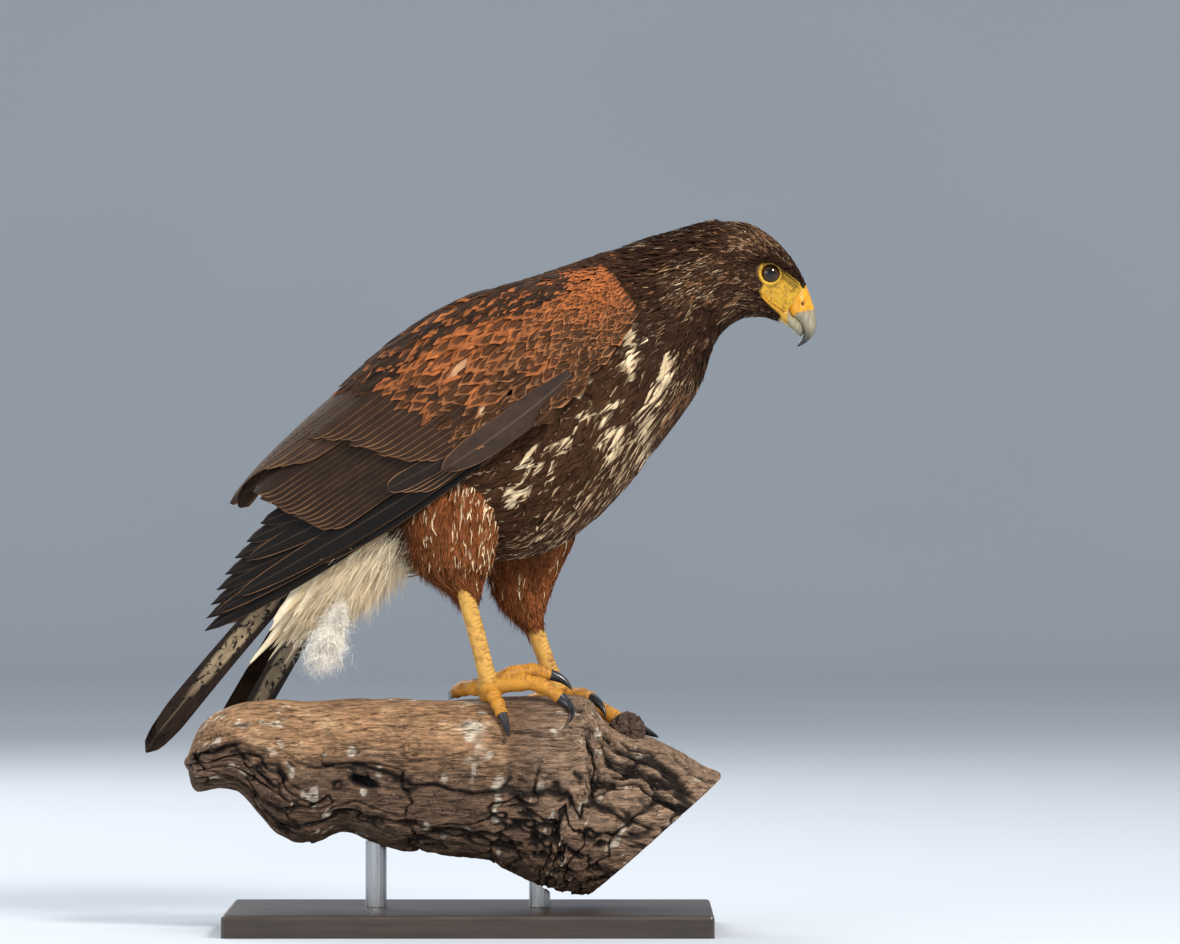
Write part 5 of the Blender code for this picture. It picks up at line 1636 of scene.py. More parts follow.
def make_thigh_coat(feather, rng):
    """Rufous trousers with cream flecks in front and a loose fringe behind."""
    for sign in (-1, 1):
        coat = Coat("coat_thigh_" + SIDES[sign], feather, "rufous")
        surface = thigh_surface(sign)
        roots = thigh_roots(surface, rng)
        count = len(roots)
        long = np.interp(roots[:, 0], (0, 3, 5), (15, 12, 6)) * uneven(rng, count, 0.16)
        wide = np.interp(roots[:, 0], (0, 3, 5), (3.4, 2.6, 1.5)) * uneven(rng, count, 0.15)
        lie = Lie(rows=6, columns=5, sink=1.8, lift=0.7, taper=0.4, ragged=0.08, point=0.8,
                  base=0.5, scatter=11.0, roll=14.0, blunt=0.3, cut=0.24)
        grid, leaf = lay(surface, roots, ROW_STEPS, (0, 1), long, wide, lie, rng,
                         bounds=((0.0, -9.0), (5.0, 9.0)))
        place = surface(roots)
        front = np.clip(np.cos(2 * np.pi * (roots[:, 1] + sign * 0.06)) * 0.5 + 0.5, 0, 1)
        high = 1 - ease(roots[:, 0], 1.6, 3.0)
        share = (0.03 + 0.5 * front * high) if sign < 0 else 0.03 + 0.05 * high
        fleck = (rng.random(count) < share) & (noise(place, 4.5, 44) > 0.0)
        rear = ease(-np.cos(2 * np.pi * roots[:, 1]), 0.2, 0.9)
        tone = blend(vary(rng, RUFOUS * 0.70, count, 0.18),
                     vary(rng, DEEP_RUFOUS * 0.70, count, 0.2),
                     0.5 + 0.7 * noise(place, 9.0, 47) + 0.5 * rear)
        mark = blend(vary(rng, RUFOUS * 0.9, count), vary(rng, TAN * 0.8, count),
                     rng.random(count) ** 3)
        tone = np.where(fleck[:, None], blend(vary(rng, CREAM, count, 0.08), vary(rng, TAN, count),
                                              0.6 * rng.random(count)), tone)
        mark = np.where(fleck[:, None], blend(vary(rng, CREAM, count), vary(rng, RUFOUS, count),
                                              rng.random(count)), mark)
        start = np.where(fleck, 0.8, 0.5 + 0.5 * rng.random(count))
        form = forms(start, 0.0)
        coat.add(grid, leaf, tone, mark, form, thigh_uv(sign, roots))
        add_fringe(coat, surface, sign, rng)
        coat.build()


# Skin, lids, bill and eyes.


def make_skin(material):
    """One skin over the trunk, neck and head, with the thighs in the same mesh."""
    rows = np.concatenate([np.linspace(0, 10, 60), np.linspace(10.05, FACE_ROW, 190)])
    turns = np.linspace(0, 1, 200, endpoint=False)
    p = np.stack(np.meshgrid(rows, turns, indexing="ij"), -1).reshape(-1, 2)
    surface = head_surface(p)
    du, dv = slopes(body_surface, p, ROW_STEPS)
    normal = unit(np.cross(du, dv))
    xz = seen(surface)
    bare = inside_distance(xz, BARE_SKIN)
    side = np.abs(surface[:, 1] - middle_y(surface[:, 0]))
    face = ease(bare, -0.9, 0.9) * ease(p[:, 0], 12.0, 12.4) * ease(side, 3.5, 6.5)
    face = np.maximum(face, ease(p[:, 0], 15.75, 15.95) * ease(surface[:, 2], 403.0, 408.0))
    depth = (body_depth(p[:, 0]) + 0.6) * (1 - face)
    # The rump is closed by rings that run together.
    points = surface - normal * depth[:, None]
    tone = blend(CHOCOLATE * 0.7, YELLOW, face)
    orange = np.exp(-((line_distance(xz, GAPE_LINE)[0] / 1.6) ** 2)) * face
    tone = blend(tone, ORANGE_YELLOW, orange)
    eye = np.hypot(xz[:, 0] - EYE_X, xz[:, 1] - EYE_Z)
    dark_line = np.exp(-((line_distance(xz, GAPE_LINE)[0] / 0.35) ** 2)) * face * (xz[:, 0] > 193.5)
    tone = blend(tone, srgb(120, 70, 20), dark_line * 0.8)
    # Painted shade: the skin deep in the socket round the eyeball is near black.
    tone = blend(tone, srgb(30, 22, 16), (1 - ease(eye, 6.2, 7.0)))
    down = 1 - ease(p[:, 0], 0.2, 1.4)
    tone = blend(tone, CREAM * 0.8, down)
    faces = grid_faces(len(rows), len(turns), wrap=True)
    uv = np.stack([p[:, 0] / FACE_ROW * 0.58 + 0.01, p[:, 1] * 0.98], 1)
    caps = []
    size = len(turns)
    points = list(points)
    tone = list(tone)
    uv = list(uv)
    for first, pull in ((0, -1), ((len(rows) - 1) * size, 1)):
        ring = np.array(points[first : first + size])
        middle = ring.mean(axis=0)
        start = len(points)
        for share in (0.6, 0.05):
            points += list(middle + (ring - middle) * share)
            tone += tone[first : first + size]
            uv += uv[first : first + size]
        order = [first, start, start + size]
        for lower, upper in zip(order[:-1], order[1:]):
            k = np.arange(size)
            quad = np.stack([lower + k, lower + (k + 1) % size, upper + (k + 1) % size, upper + k],
                            1)
            caps.append(quad if pull > 0 else quad[:, ::-1])
    faces = [faces[:, ::-1], *[c[:, ::-1] for c in caps]]
    for sign in (-1, 1):
        places = np.stack(np.meshgrid(np.linspace(0, 5, 40), np.linspace(0, 1, 64, endpoint=False),
                                      indexing="ij"), -1).reshape(-1, 2)
        start = len(points)
        points += list(thigh_surface(sign, 2.6)(places))
        tone += [DEEP_RUFOUS * 0.6] * len(places)
        uv += list(np.stack([0.62 + 0.36 * places[:, 0] / 5,
                             0.49 * places[:, 1] + (0.5 if sign > 0 else 0)], 1))
        faces.append(grid_faces(40, 64, wrap=True) + start)
    obj = mesh_object("skin", points, np.concatenate(faces), material,
                      colours={"tone": np.array(tone)},
                      uv=np.array(uv))
    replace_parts(obj, "torso", "neck", "head", "thigh_right", "thigh_left")
    return obj


def sweep(name, path, radii, flat, material, tones, sides=14, closed=False, up=(0.0, 0.0, 1.0)):
    """A tube along a path. flat squashes it along up."""
    path = np.asarray(path, float)
    along = unit(np.gradient(path, axis=0))
    if closed:
        along = unit(np.roll(path, -1, axis=0) - np.roll(path, 1, axis=0))
    up = unit(np.broadcast_to(np.asarray(up, float), path.shape) - 0)
    side = unit(np.cross(along, up))
    top = np.cross(side, along)
    t = np.linspace(0, 2 * np.pi, sides, endpoint=False)
    radii = np.broadcast_to(np.asarray(radii, float), (len(path),))
    rings = (
        path[:, None, :]
        + side[:, None, :] * (np.cos(t)[None, :] * radii[:, None])[..., None]
        + top[:, None, :] * (np.sin(t)[None, :] * radii[:, None] * flat)[..., None]
    )
    faces = grid_faces(len(path), sides, wrap=True)
    if closed:
        k = np.arange(sides)
        last = (len(path) - 1) * sides
        faces = np.vstack([faces, np.stack([last + k, last + (k + 1) % sides, (k + 1) % sides, k],
                                           1)])
    tones = np.repeat(np.broadcast_to(np.asarray(tones, float), (len(path), 3)), sides, axis=0)
    return mesh_object(name, rings, faces, material, colours={"tone": tones})


def make_eye(sign, material):
    """The eyeball, with its pole looking out of the head."""
    centre = np.array((EYE_X, float(middle_y(EYE_X)) + sign * EYE_OUT, EYE_Z))
    rings, sides = 40, 64
    lat, lon = globe(rings, sides, 0.001, np.pi * 0.999)
    bulge = 1 + 0.035 * np.exp(-((lat / 0.55) ** 2))
    radial = EYE_RADIUS * np.sin(lat)
    points = centre + np.stack(
        [radial * np.cos(lon), sign * EYE_RADIUS * np.cos(lat) * bulge, radial * np.sin(lon)], 1
    )
    out = np.where(lat < np.pi / 2, radial, 9.0)
    leaf = np.stack([out, lon, 0 * out], 1)
    faces = grid_faces(rings, sides, wrap=True)
    if sign < 0:
        faces = faces[:, ::-1]
    obj = mesh_object("eyeball_" + SIDES[sign], points, faces, material, vectors={"leaf": leaf})
    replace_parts(obj, "eye_" + SIDES[sign])


def make_lids(sign, material):
    """The yellow ring of skin round the eye, thicker behind and below, with painted shade that
    darkens its upper front under the brow.
    """
    angle = np.linspace(0, 2 * np.pi, 72, endpoint=False)
    lower_rear = 0.5 + 0.5 * np.cos(angle - math.radians(215))
    radius = 6.75 + 0.25 * lower_rear
    out = EYE_OUT + np.sqrt(EYE_RADIUS**2 - 6.3**2) + 0.25
    path = np.stack(
        [
            EYE_X + radius * np.cos(angle),
            middle_y(EYE_X) + sign * (out + 0.35 * np.sin(2 * angle)),
            EYE_Z + radius * np.sin(angle),
        ],
        1,
    )
    # Painted shade: the ring's yellow is darker at its upper front, under the brow, and brighter at
    # its lower rear.
    tones = np.outer(0.82 + 0.25 * lower_rear, YELLOW)
    lid = sweep("lid_" + SIDES[sign], path, 0.75 + 0.45 * lower_rear, 0.9, material, tones,
                closed=True, up=(0.0, float(sign), 0.0))
    rim = np.array(BROW_LINE[2:6]) + np.array((-0.6, -1.9))
    places = rows_at(rim, np.linspace(0, 3, 40))
    outs = np.interp(places[:, 0], (196, 204, 210, 217), (22.2, 20.4, 17.3, 12.6))
    path = np.stack([places[:, 0], middle_y(EYE_X) + sign * outs, places[:, 1]], 1)
    edge = sweep("brow_edge_" + SIDES[sign], path, 0.42, 1.0, material, YELLOW * 0.8)


# How far the bill's own root runs into the face.
BILL_ROOT = 1.6
# The lower bill lies nearly flush with the upper one.
LOWER_BILL_SWELL = 1.10


def bill_grid(first, rows, power, count, sides):
    """Rings of one half of the bill, whose first ring lies against the face."""
    top, low = np.array(BODY_ROWS[-1][0:2]), np.array(BODY_ROWS[-1][2:4])
    edge = low - top
    start, stop = top + edge * first[0], top + edge * first[1]
    face = np.array((*start, *stop, first[2]))
    ahead = np.array(rows[0][:4]) - face[:4]
    ahead = np.tile(unit(ahead[:2] + ahead[2:]), 2)
    hidden = np.append(face[:4] - ahead * BILL_ROOT, first[2] * 0.96)
    table = np.array([hidden, face, *rows])
    shares = np.linspace(0, 1, count) ** 0.9 * (len(table) - 1)
    turns = np.linspace(0, 1, sides, endpoint=False)
    row = rows_at(table, np.repeat(shares, sides))
    turn = np.tile(turns, count)
    return ring_point(row, turn, power), turn, np.repeat(shares, sides) - 1.0


def cap_last(points, faces, sides):
    """Closes the last ring of a grid with a small ring about its middle."""
    last = len(points) - sides
    middle = points[last:].mean(axis=0)
    k = np.arange(sides)
    near = middle + (points[last:] - middle) * 0.02
    cap = np.stack([last + k, last + (k + 1) % sides, last + sides + (k + 1) % sides,
                    last + sides + k], 1)
    return np.vstack([points, near]), np.vstack([faces, cap])


def make_bill(material):
    """Cere and upper bill in one piece, with pits for nostrils, and the lower bill."""
    sides, count = 72, 90
    points, turn, share = bill_grid((0.0, BILL_SPLIT, 8.6), UPPER_BILL_ROWS, 2.0, count, sides)
    centre = points.reshape(count, sides, 3).mean(axis=1).repeat(sides, axis=0)
    outward = unit(points - centre)
    edge_z = np.interp(points[:, 0], CERE_EDGE_X, CERE_EDGE_Z)
    above = points[:, 2] - edge_z
    cere = ease(above, -0.25, 0.35)
    points = points + outward * (0.38 * cere * ease(share, 0.0, 0.5))[:, None]
    side = np.abs(points[:, 1] - middle_y(NOSTRIL_X))
    pit = np.hypot((points[:, 0] - NOSTRIL_X) / 1.25, (points[:, 2] - NOSTRIL_Z) / 1.75)
    pit = np.where(side > 3.5, pit, 9.0)
    points = points - outward * (1.9 * (1 - ease(pit, 0.35, 1.0)))[:, None]
    points = points + outward * (0.25 * np.exp(-(((pit - 1.35) / 0.35) ** 2)))[:, None]
    toward_tip = ease(share, 2.6, 6.6)
    ridge = ease(np.cos(2 * np.pi * turn), 0.80, 1.0) * ease(share, 1.2, 3.0)
    grey = blend(BILL_GREY, BILL_BLACK,
                 np.clip(toward_tip * 1.05 + 0.55 * ridge, 0, 1))
    tone = blend(grey, ORANGE_YELLOW, cere)
    # Painted shade: the nostril pits are dark inside.
    tone = blend(tone, srgb(40, 26, 8), 1 - ease(pit, 0.5, 1.1))
    faces = grid_faces(count, sides, wrap=True)
    points, faces = cap_last(points, faces, sides)
    tone = np.vstack([tone, tone[-sides:]])
    upper = mesh_object("bill_upper_horn", points, faces[:, ::-1], material, colours={"tone": tone})
    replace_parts(upper, "bill_upper")
    sides, count = 48, 50
    lower_rows = np.array(LOWER_BILL_ROWS, float)
    lower_rows[:, 4] *= LOWER_BILL_SWELL
    points, turn, share = bill_grid((BILL_SPLIT - 0.06, 0.99, 8.2), lower_rows, 2.0, count, sides)
    grey = blend(BILL_GREY * 0.95, BILL_BLACK,
                 ease(share, 2.4, 5.4) * 0.8)
    tone = blend(YELLOW * 0.9, grey, ease(points[:, 0], 207.5, 209.5))
    faces = grid_faces(count, sides, wrap=True)
    points, faces = cap_last(points, faces, sides)
    tone = np.vstack([tone, tone[-sides:]])
    lower = mesh_object("bill_lower_horn", points, faces[:, ::-1], material, colours={"tone": tone})
    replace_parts(lower, "bill_lower")


def make_bristles(material, rng):
    """Sparse black bristles on the lores, round the gape and on the chin."""
    roots, aims = [], []
    for sign in (-1, 1):
        for _ in range(420):
            row, turn = rng.uniform(13.4, 15.9), 0.75 + rng.normal(0, 0.08)
            place = np.array([[row, turn if sign < 0 else 1 - turn]])
            point = head_surface(place)[0]
            xz = point[[0, 2]][None]
            eye = np.hypot(point[0] - EYE_X, point[2] - EYE_Z)
            if inside_distance(xz, BARE_SKIN)[0] < 0.3 or eye < 8.6:
                continue
            roots.append(point)
            aims.append(np.array((-0.55, sign * 0.35, 0.75)) + rng.normal(0, 0.25, 3))
        for _ in range(26):
            point = np.array((rng.uniform(199, 209), 0.0, 0.0))
            point[2] = np.interp(point[0], (196, 211), (403.6, 401.2))
            point[1] = middle_y(EYE_X) + sign * rng.uniform(0.5, 6.0)
            roots.append(point)
            aims.append(np.array((0.35, sign * 0.15, -1.0)) + rng.normal(0, 0.2, 3))
    count = len(roots)
    grid, _ = strands(np.array(roots), np.array(aims), rng.uniform(1.6, 4.2, count),
                         np.full(count, 0.20), 0.0, rng, rows=5, wave=0.2)
    faces = grid_faces(5, 2)
    shift = (np.arange(count) * 10)[:, None, None]
    tone = np.tile(srgb(24, 20, 18), (count * 10, 1))
    obj = mesh_object("bristles", grid, (faces[None] + shift).reshape(-1, 4), material,
                      colours={"tone": tone}, uv=np.tile((0.5, 0.5), (count * 10, 1)))


# Legs, toes and claws.


def frames(path, first=None):
    """Directions along a path and two side directions that turn as little as they can."""
    along = unit(np.gradient(path, axis=0))
    if first is not None:
        along[0] = first
    side = np.cross(along[0], (0.0, 0.0, 1.0))
    if np.linalg.norm(side) < 0.1:
        side = np.cross(along[0], (0.0, 1.0, 0.0))
    sides = []
    for direction in along:
        side = unit(side - direction * (direction @ side))
        sides.append(side)
    sides = np.array(sides)
    return along, sides, np.cross(along, sides)


# How far apart the rings of a leg or toe are.
LIMB_STEP = 0.28


def scaled_limb(path, radii, scute, face, sides=64, hue=LEG_YELLOW):
    """A leg or toe with overlapping plates along the side that face(direction) says."""
    path = np.asarray(path, float)
    long = np.linalg.norm(np.diff(path, axis=0), axis=1).sum()
    count = max(12, int(long / LIMB_STEP))
    shares = np.linspace(0, len(path) - 1, count)
    spine = rows_at(path, shares)
    radius = rows_at(np.array(radii)[:, None], shares)[:, 0]
    run = np.concatenate([[0], np.cumsum(np.linalg.norm(np.diff(spine, axis=0), axis=1))])
    _, right, up = frames(spine)
    t = np.linspace(0, 2 * np.pi, sides, endpoint=False)
    out = right[:, None, :] * np.cos(t)[None, :, None] + up[:, None, :] * np.sin(t)[None, :, None]
    towards = ease((out @ np.asarray(face, float)), 0.25, 0.75)
    warp = 0.35 * np.sin(out[..., 0] * 3.0 + run[:, None] * 0.4)
    phase = (run[:, None] / scute + warp) % 1.0
    plate = 0.34 * (phase**0.7 - 0.5) * towards
    groove = np.exp(-((phase / 0.09) ** 2)) + np.exp(-(((1 - phase) / 0.09) ** 2))
    lumps = 0.16 * noise(spine[:, None, :] + out * radius[:, None, None], 2.4, 3)
    height = plate + lumps * (1 - 0.6 * towards) - 0.22 * groove * towards
    points = spine[:, None, :] + out * (radius[:, None] + height)[..., None]
    tone = hue[None, None, :] * (1 - 0.5 * (groove * towards)[..., None])
    tint = noise(points, 7.0, 9)[..., None] * 0.12 + 1
    tone = tone * tint
    return points.reshape(-1, 3), grid_faces(count, sides, wrap=True), tone.reshape(-1, 3)


def ball_part(centre, radius):
    """A slightly uneven ball."""
    rings, sides = 24, 32
    lat, lon = globe(rings, sides)
    out = np.stack([np.sin(lat) * np.cos(lon), np.sin(lat) * np.sin(lon), np.cos(lat)], 1)
    points = np.array(centre) + out * (radius + 0.25 * noise(out * 8, 2.0, 5))[:, None]
    tone = np.tile(TOE_YELLOW * 0.92, (len(points), 1))
    return points, grid_faces(rings, sides, wrap=True), tone


def toe_line(sign, number, count=7):
    path, radii = TOE_PATHS[sign][number], TOE_RADII[number]
    places = np.linspace(0, len(path) - 1, count)
    sizes = rows_at(np.array(radii)[:, None], places)[:, 0]
    return rows_at(path, places), sizes * (1 + 0.07 * np.cos(np.arange(count) * math.pi))


def joined(name, parts, material, nodes):
    starts = np.cumsum([0] + [len(part[0]) for part in parts])
    points = np.vstack([part[0] for part in parts])
    faces = np.vstack([part[1] + start for part, start in zip(parts, starts)])
    tone = np.vstack([part[2] for part in parts])
    obj = mesh_object(name, points, faces, material, colours={"tone": tone})
    if nodes:
        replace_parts(obj, *nodes)
    return obj


def make_legs(sign, material):
    name = SIDES[sign]
    path = TARSUS_PATHS[sign]
    ys = np.linspace(*TARSUS_Y[sign], len(path))
    points = [(x, y, z) for (x, z), y in zip(path, ys)]
    part = scaled_limb(points, TARSUS_RADII, 3.4, (1.0, -0.25, 0.2))
    joined("leg_" + name, [part], material, ["tarsus_" + name])
    parts = [ball_part(BALLS[sign], BALL_RADIUS)]
    for number in range(4):
        line, sizes = toe_line(sign, number)
        end = line[-1] + unit(line[-1] - line[-2]) * 0.6
        parts.append(scaled_limb(np.vstack([line, end]), np.append(sizes, sizes[-1] * 0.72), 2.5,
                                 (0.1, -0.1, 1.0), sides=48, hue=TOE_YELLOW))
    joined("toes_" + name, parts, material, ["foot_" + name])


CLAW_SHARE = 0.86


def make_claw(sign, number, material):
    """A hooked claw from the flat end of its toe to its tip."""
    line, sizes = toe_line(sign, number)
    forward = unit(line[-1] - line[-2])
    start = line[-1] - forward * 0.3
    tip = np.array(CLAW_TIPS[sign][number])
    middle = start + forward * 0.62 * np.linalg.norm(tip - start)
    u = np.linspace(0, 1, 40)
    path = (
        np.outer((1 - u) ** 2, start) + np.outer(2 * u * (1 - u), middle) + np.outer(u**2, tip)
    )
    radius = sizes[-1] * CLAW_SHARE * (1 - u) ** 0.75 + 0.15
    _, right, up = frames(path, forward)
    t = np.linspace(0, 2 * np.pi, 28, endpoint=False)
    rings = (
        path[:, None, :]
        + right[:, None, :] * (np.cos(t)[None, :] * radius[:, None] * 0.86)[..., None]
        + up[:, None, :] * (np.sin(t)[None, :] * radius[:, None])[..., None]
    )
    tone = np.outer(np.interp(u, (0, 0.08, 0.3, 1), (2.2, 1.5, 1.0, 0.8)), srgb(30, 31, 35))
    name = SIDES[sign] + "_" + str(number + 1)
    obj = mesh_object("talon_" + name, rings, grid_faces(40, 28, wrap=True), material,
                      colours={"tone": np.repeat(tone, 28, axis=0)})
    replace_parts(obj, "claw_" + name)


# The limb.


def perch_point(place, turn):
    """The middle of the limb at a place along it, and the way from there to its bark."""
    row = rows_at(PERCH_ROWS, place)
    top = np.stack([row[..., 0], 0 * row[..., 0], row[..., 1]], -1)
    low = np.stack([row[..., 2], 0 * row[..., 0], row[..., 3]], -1)
    c, s = superellipse(turn, PERCH_POWER)
    centre, up = (top + low) / 2, (top - low) / 2
    out = up * c[..., None] + np.stack([0 * s, row[..., 4] * s, 0 * s], -1)
    return centre, out


# Places on the side seen by the camera: a hollow, a round knot, and where each foot holds on.
HOLLOW_X, HOLLOW_Z = -69.0, 99.0
KNOT_X, KNOT_Z = -35.5, 122.5
HELD_XY = ((25.0, -15.0), (62.0, 22.0))
# The limb's length along its bends, and a mean radius, for noise that runs with the bark.
LIMB_RUN, LIMB_RADIUS = 395.0, 46.0


def limb_height(points, cyl, smooth, hollow):
    """How far bark, furrows and cracks stand out from the limb's plain shape."""
    x, near = points[:, 0], points[:, 1] < 0
    rough = 1 - smooth
    warp = fractal(cyl, 42.0, 61, 3)
    bent = cyl + np.stack([0 * warp, 9 * warp, 9 * np.roll(warp, 7)], 1)
    furrow_at = bent * np.array((0.16, 1.0, 1.0))
    ridges = 1 - np.abs(fractal(furrow_at, 11.0, 71, 4))
    furrows = -ease(ridges, 0.80, 1.0) * 4.2
    cells = 1 - np.abs(fractal(bent * np.array((0.55, 1.0, 1.0)), 15.0, 77, 3))
    cracks = -ease(cells, 0.88, 1.0) * 3.4
    fine = fractal(bent * np.array((0.3, 1.0, 1.0)), 4.2, 83, 3)
    lumps = fractal(cyl, 26.0, 88, 2) * 3.2
    height = rough * (furrows + cracks + fine * 1.3 + lumps) + smooth * (fine * 0.4 + lumps * 0.35)
    height += smooth * -ease(1 - np.abs(fractal(furrow_at, 16.0, 91, 2)), 0.9, 1.0) * 1.1
    height -= np.where(near, 9.0 * (1 - ease(hollow, 0.3, 1.0)), 0)
    knot = np.hypot(x - KNOT_X, (points[:, 2] - KNOT_Z) / 1.25)
    ring = np.exp(-(((knot - 5.6) / 1.1) ** 2)) * 1.5 - (1 - ease(knot, 3.6, 5.0)) * 0.7
    height += np.where(near, ring, 0)
    # Nothing rises where the feet and claws rest.
    held = np.minimum(*(np.hypot(x - at, points[:, 1] - y) for at, y in HELD_XY))
    quiet = (1 - ease(held, 44, 62)) * ease(points[:, 2], 100, 120)
    height = height * (1 - 0.85 * quiet) - 0.5 * quiet
    return height - 0.6


def limb_tone(plain, level, cyl, up_share, smooth, height, hollow):
    """Painted shade dark in the furrows, by their depth, and in the hollow; pale on the ridges, tan
    where the bark is gone.
    """
    x, near = plain[:, 0], plain[:, 1] < 0
    low = np.clip(-height / 4.5, 0, 1)
    patch = fractal(cyl, 34.0, 95, 3) * 0.5 + 0.5
    tan = blend(srgb(168, 128, 90), srgb(128, 98, 74), patch)
    tan = blend(tan, srgb(196, 160, 122),
                ease(fractal(cyl * (0.5, 1, 1), 9.0, 97, 3), 0.1, 0.7) * 0.6)
    bark_tone = blend(srgb(112, 88, 70), srgb(84, 64, 50), patch)
    right = ease(x, 20.0, 70.0) * ease(up_share, -0.6, 0.2)
    bark_tone = blend(bark_tone, srgb(146, 120, 98), right * 0.7)
    tone = blend(bark_tone, tan, smooth)
    lichen = ease(noise(cyl, 9.0, 99) + 0.6 * noise(cyl, 4.0, 101), 0.62, 0.85)
    streak = np.exp(-((x - 2 - 0.12 * (level - 130)) / 7.0) ** 2) * ease(level, 108, 122)
    streak *= ease(noise(cyl, 7.0, 103), -0.25, 0.35) * near
    tone = blend(tone, srgb(206, 196, 178), np.maximum(lichen * 0.55, streak * 0.85))
    # Painted shade: the deeper a furrow or crack sinks, the darker it is.
    tone = blend(tone, srgb(34, 25, 20), ease(low, 0.25, 0.95))
    # Painted shade: the hollow is near black inside.
    hollow_shade = np.where(near, 1 - ease(hollow, 0.5, 0.95), 0)
    tone = blend(tone, srgb(12, 9, 8), hollow_shade)
    return tone


def end_rings(edge):
    """Rings that close an end of the limb, from its edge to its middle, and their sizes."""
    middle = edge.mean(axis=0)
    shares = np.linspace(1, 0.01, 24)[:, None, None]
    return middle + (edge[None] - middle) * shares, shares


def make_perch(material, sawn):
    """Dead wood: smooth and tan above, deeply furrowed bark below and to the right."""
    length_rows, sides = 460, 420
    places = np.linspace(0, len(PERCH_ROWS) - 1, length_rows)
    turns = np.linspace(0, 1, sides, endpoint=False)
    place, turn = (g.ravel() for g in np.meshgrid(places, turns, indexing="ij"))
    centre, out = perch_point(place, turn)
    points = centre + out
    outward = out / np.linalg.norm(out, axis=1)[:, None]
    up_share, side_share = np.cos(2 * np.pi * turn), np.sin(2 * np.pi * turn)
    run = np.interp(place, (0, 14), (0, LIMB_RUN))
    cyl = np.stack([run, LIMB_RADIUS * up_share, LIMB_RADIUS * side_share], 1)
    x = points[:, 0]
    smooth = ease(up_share + 0.18 * fractal(cyl, 30.0, 66, 2), -0.10, 0.42) * ease(x, 42.0, 8.0)
    slant = 0.25 * (x - HOLLOW_X)
    hollow = np.hypot((x - HOLLOW_X) / 13, (points[:, 2] - HOLLOW_Z + slant) / 5.5)
    height = limb_height(points, cyl, smooth, hollow)
    ends = ease(place, 0.0, 0.5)
    plain = points
    points = plain + outward * (height * (0.35 + 0.65 * ends))[:, None]
    tone = limb_tone(plain, points[:, 2], cyl, up_share, smooth, height, hollow)
    obj = mesh_object("limb", points, grid_faces(length_rows, sides, wrap=True), material,
                      colours={"tone": tone})
    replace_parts(obj, "perch")
    rings, shares = end_rings(points[-sides:])
    leaf = np.broadcast_to(shares * np.array((1.0, 0.0, 0.0)), rings.shape)
    cap = grid_faces(len(rings), sides, wrap=True)
    cut = mesh_object("sawn_end", rings, cap, sawn, vectors={"leaf": leaf.reshape(-1, 3)})
    rings, shares = end_rings(points[:sides])
    shares = shares[:, :, 0]
    broken = 0.8 * fractal(rings.reshape(-1, 3), 5.0, 111, 2).reshape(len(rings), sides)
    rings[..., 0] -= 2.0 * (1 - shares**2) + broken * (1 - shares)
    end = mesh_object("broken_end", rings, cap[:, ::-1], material,
                      colours={"tone": srgb(120, 90, 66)})
    for made in (obj, cut, end, make_knob(material)):
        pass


def make_knob(material):
    """The rough knob beside the left foot, with painted shade in its cracks."""
    rings, sides = 60, 90
    lat, lon = globe(rings, sides)
    away = np.stack([np.sin(lat) * np.cos(lon), np.sin(lat) * np.sin(lon), np.cos(lat)], 1)
    rough = -ease(1 - np.abs(fractal(away * 14 + 3, 7.0, 121, 3)), 0.84, 1.0) * 2.2
    rough += fractal(away * 14, 6.0, 125, 3) * 1.2
    points = np.array((KNOB_X, KNOB_Y, KNOB_Z)) + away * (KNOB_RADIUS - 0.3 + rough)[:, None]
    # Painted shade: darker where the knob's surface sinks into cracks.
    tone = blend(srgb(84, 66, 54), srgb(28, 21, 18), ease(-rough / 2.4, 0.2, 0.9))
    return mesh_object("limb_knob", points, grid_faces(rings, sides, wrap=True), material,
                       colours={"tone": tone})


# The studio.


def make_floor(material):
    """A pale floor that curves up far behind the object."""
    wide = 9000.0
    bend, rise = CAMERA_DISTANCE_MM + 1200.0, 2600.0
    arc = np.linspace(0.05, np.pi / 2, 24)
    y = np.concatenate([np.linspace(-7000, bend, 12), bend + rise * np.sin(arc), [bend + rise]])
    z = np.concatenate([np.zeros(12), rise * (1 - np.cos(arc)), [7000.0]])
    x = np.linspace(-wide, wide, 9)
    grid = np.stack(
        [np.tile(x, (len(y), 1)), np.tile(y[:, None], (1, 9)), np.tile(z[:, None], (1, 9))], -1
    )
    points = grid.reshape(-1, 3) * MM
    mesh = bpy.data.meshes.new("floor")
    mesh.from_pydata(points.tolist(), [], grid_faces(len(y), 9).tolist())
    mesh.materials.append(material)
    mesh.shade_smooth()
    floor = bpy.data.objects.new("floor", mesh)
    bpy.context.scene.collection.objects.link(floor)


def area_light(name, place, target, size, power, colour):
    """A rectangular lamp aimed at a target."""
    data = bpy.data.lights.new(name, "AREA")
    data.shape = "RECTANGLE"
    data.size, data.size_y = size
    data.energy = power
    data.color = colour
    light = bpy.data.objects.new(name, data)
    bpy.context.scene.collection.objects.link(light)
    light.location = place
    aim(light, target)


def aim(obj, target):
    """Turns a camera or light so that it looks at a point."""
    from mathutils import Vector

    away = Vector(target) - obj.location
    obj.rotation_euler = away.to_track_quat("-Z", "Y").to_euler()


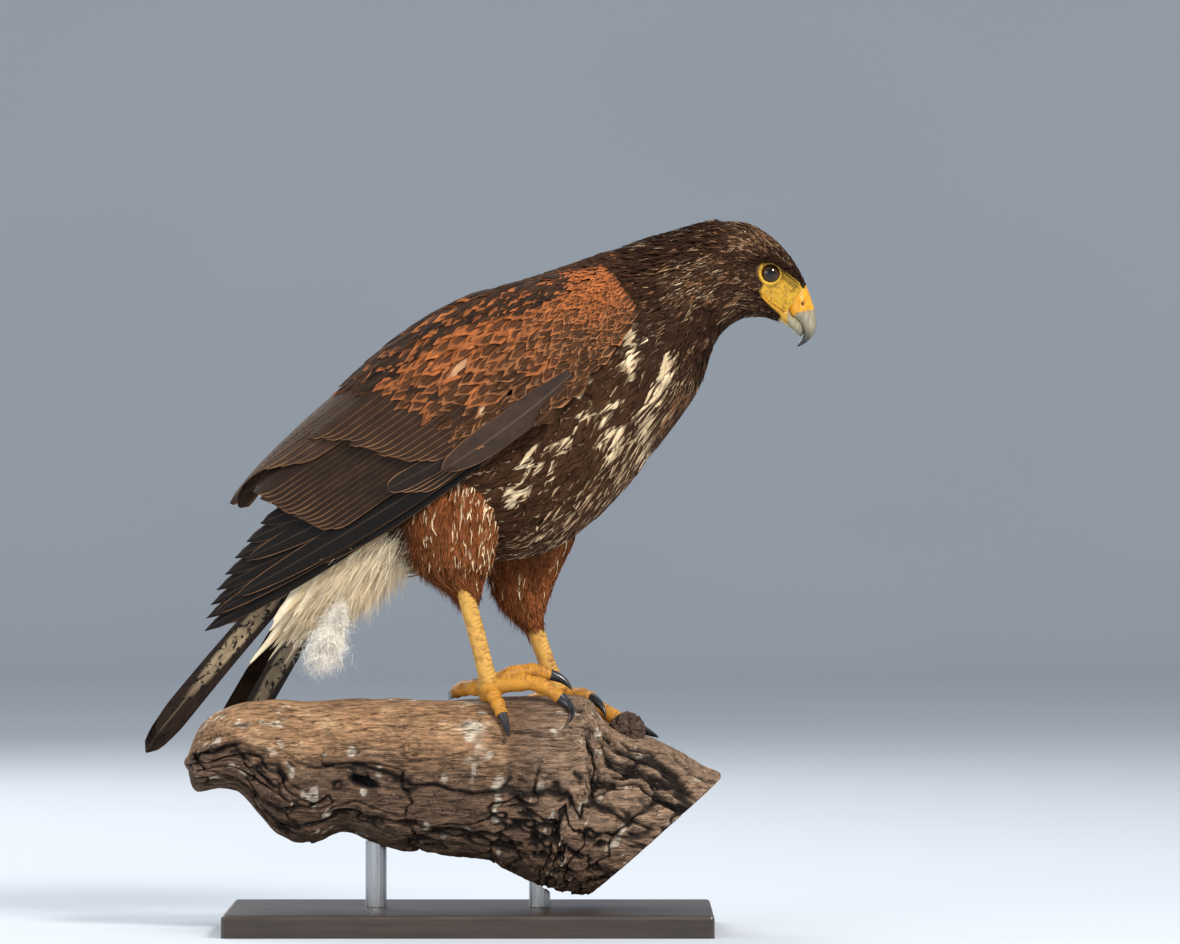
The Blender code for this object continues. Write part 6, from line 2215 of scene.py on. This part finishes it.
def make_studio():
    """Lamps, the world's pale light and the camera."""
    target = (0.03, 0.0, 0.28)
    area_light("key", (1.7, -2.3, 2.3), target, (0.8, 0.8), 122.0, (1.0, 0.95, 0.88))
    area_light("fill", (-2.4, -2.4, 1.1), target, (2.0, 1.6), 32.0, (0.97, 0.98, 1.0))
    area_light("sky", (-0.3, 0.3, 3.2), target, (2.4, 2.4), 46.0, (0.96, 0.98, 1.0))
    area_light("rim", (-1.2, 2.2, 1.7), target, (1.2, 1.2), 34.0, (1.0, 0.98, 0.95))
    world = bpy.data.worlds.new("studio")
    bpy.context.scene.world = world
    world.use_nodes = True
    background = world.node_tree.nodes["Background"]
    background.inputs["Color"].default_value = (0.86, 0.91, 0.96, 1.0)
    background.inputs["Strength"].default_value = 0.52
    data = bpy.data.cameras.new("camera")
    data.sensor_width = SENSOR_MM
    data.lens = SENSOR_MM * CAMERA_DISTANCE_MM / PHOTO_WIDTH_MM
    data.clip_end = 60.0
    camera = bpy.data.objects.new("camera", data)
    bpy.context.scene.collection.objects.link(camera)
    camera.location = (VIEW_X * MM, -CAMERA_DISTANCE_MM * MM, VIEW_Z * MM)
    camera.rotation_euler = (math.pi / 2, 0.0, 0.0)
    bpy.context.scene.camera = camera
    bpy.context.scene.view_settings.view_transform = "Standard"


def main():
    """Makes every piece in turn, then the studio."""
    rng = np.random.default_rng(SEED)
    body = feather_material("body_feather", tip_gain=0.9, soft=0.14, gloss=0.08)
    fine = feather_material("fine_feather", tip_gain=1.6, soft=0.22, hair=(4.0, 1.2), gloss=0.08)
    covert = feather_material("wing_covert", soft=0.17, wobble=0.40, gloss=0.1)
    flight = feather_material("flight_feather", 0.66, tip_gain=1.3, soft=0.03, wobble=0.05,
                              hair=(16.0, 5.0), hair_gain=0.16, barbs=60.0, gloss=0.2,
                              painted_root_shade=0.8)
    tail = feather_material("tail_feather", 0.6, soft=0.12, wobble=0.2, hair=(12.0, 6.0),
                            hair_gain=0.2, barbs=90.0, bars=13.0, gloss=0.25, painted_root_shade=0.8)
    down = feather_material("down_feather", 0.9, hair_gain=0.08, gloss=0.1, painted_root_shade=1.0)
    skin, scales = skin_material(), scale_material()
    bill, claw = horn_material("bill_horn", 0.34), horn_material("claw_horn", 0.26)
    eye = eye_material()
    make_skin(skin)
    make_body_coat(body, rng)
    make_neck_coat(body, rng)
    make_head_coat(fine, rng)
    for sign in (-1, 1):
        arm = make_flight_feathers(sign, flight, rng)
        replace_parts(arm, "wing_" + SIDES[sign])
        make_wing_coverts(sign, covert, rng)
        make_scapulars(sign, covert, rng)
        make_eye(sign, eye)
        make_lids(sign, skin)
        make_legs(sign, scales)
        for number in range(4):
            make_claw(sign, number, claw)
    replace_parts(make_tail_feathers(tail, rng), "tail")
    make_tail_coverts(body, rng)
    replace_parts(make_undertail(down, rng), "undertail_coverts")
    make_thigh_coat(fine, rng)
    make_bill(bill)
    make_bristles(skin, rng)
    make_perch(bark_material(), cut_material())
    for node, material in (("stand_base", stand_material()), ("stand_rod_rear", steel_material()),
                           ("stand_rod_front", steel_material())):
        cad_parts[node].data.materials.clear()
        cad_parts[node].data.materials.append(material)
    make_floor(floor_material())
    make_studio()


main()
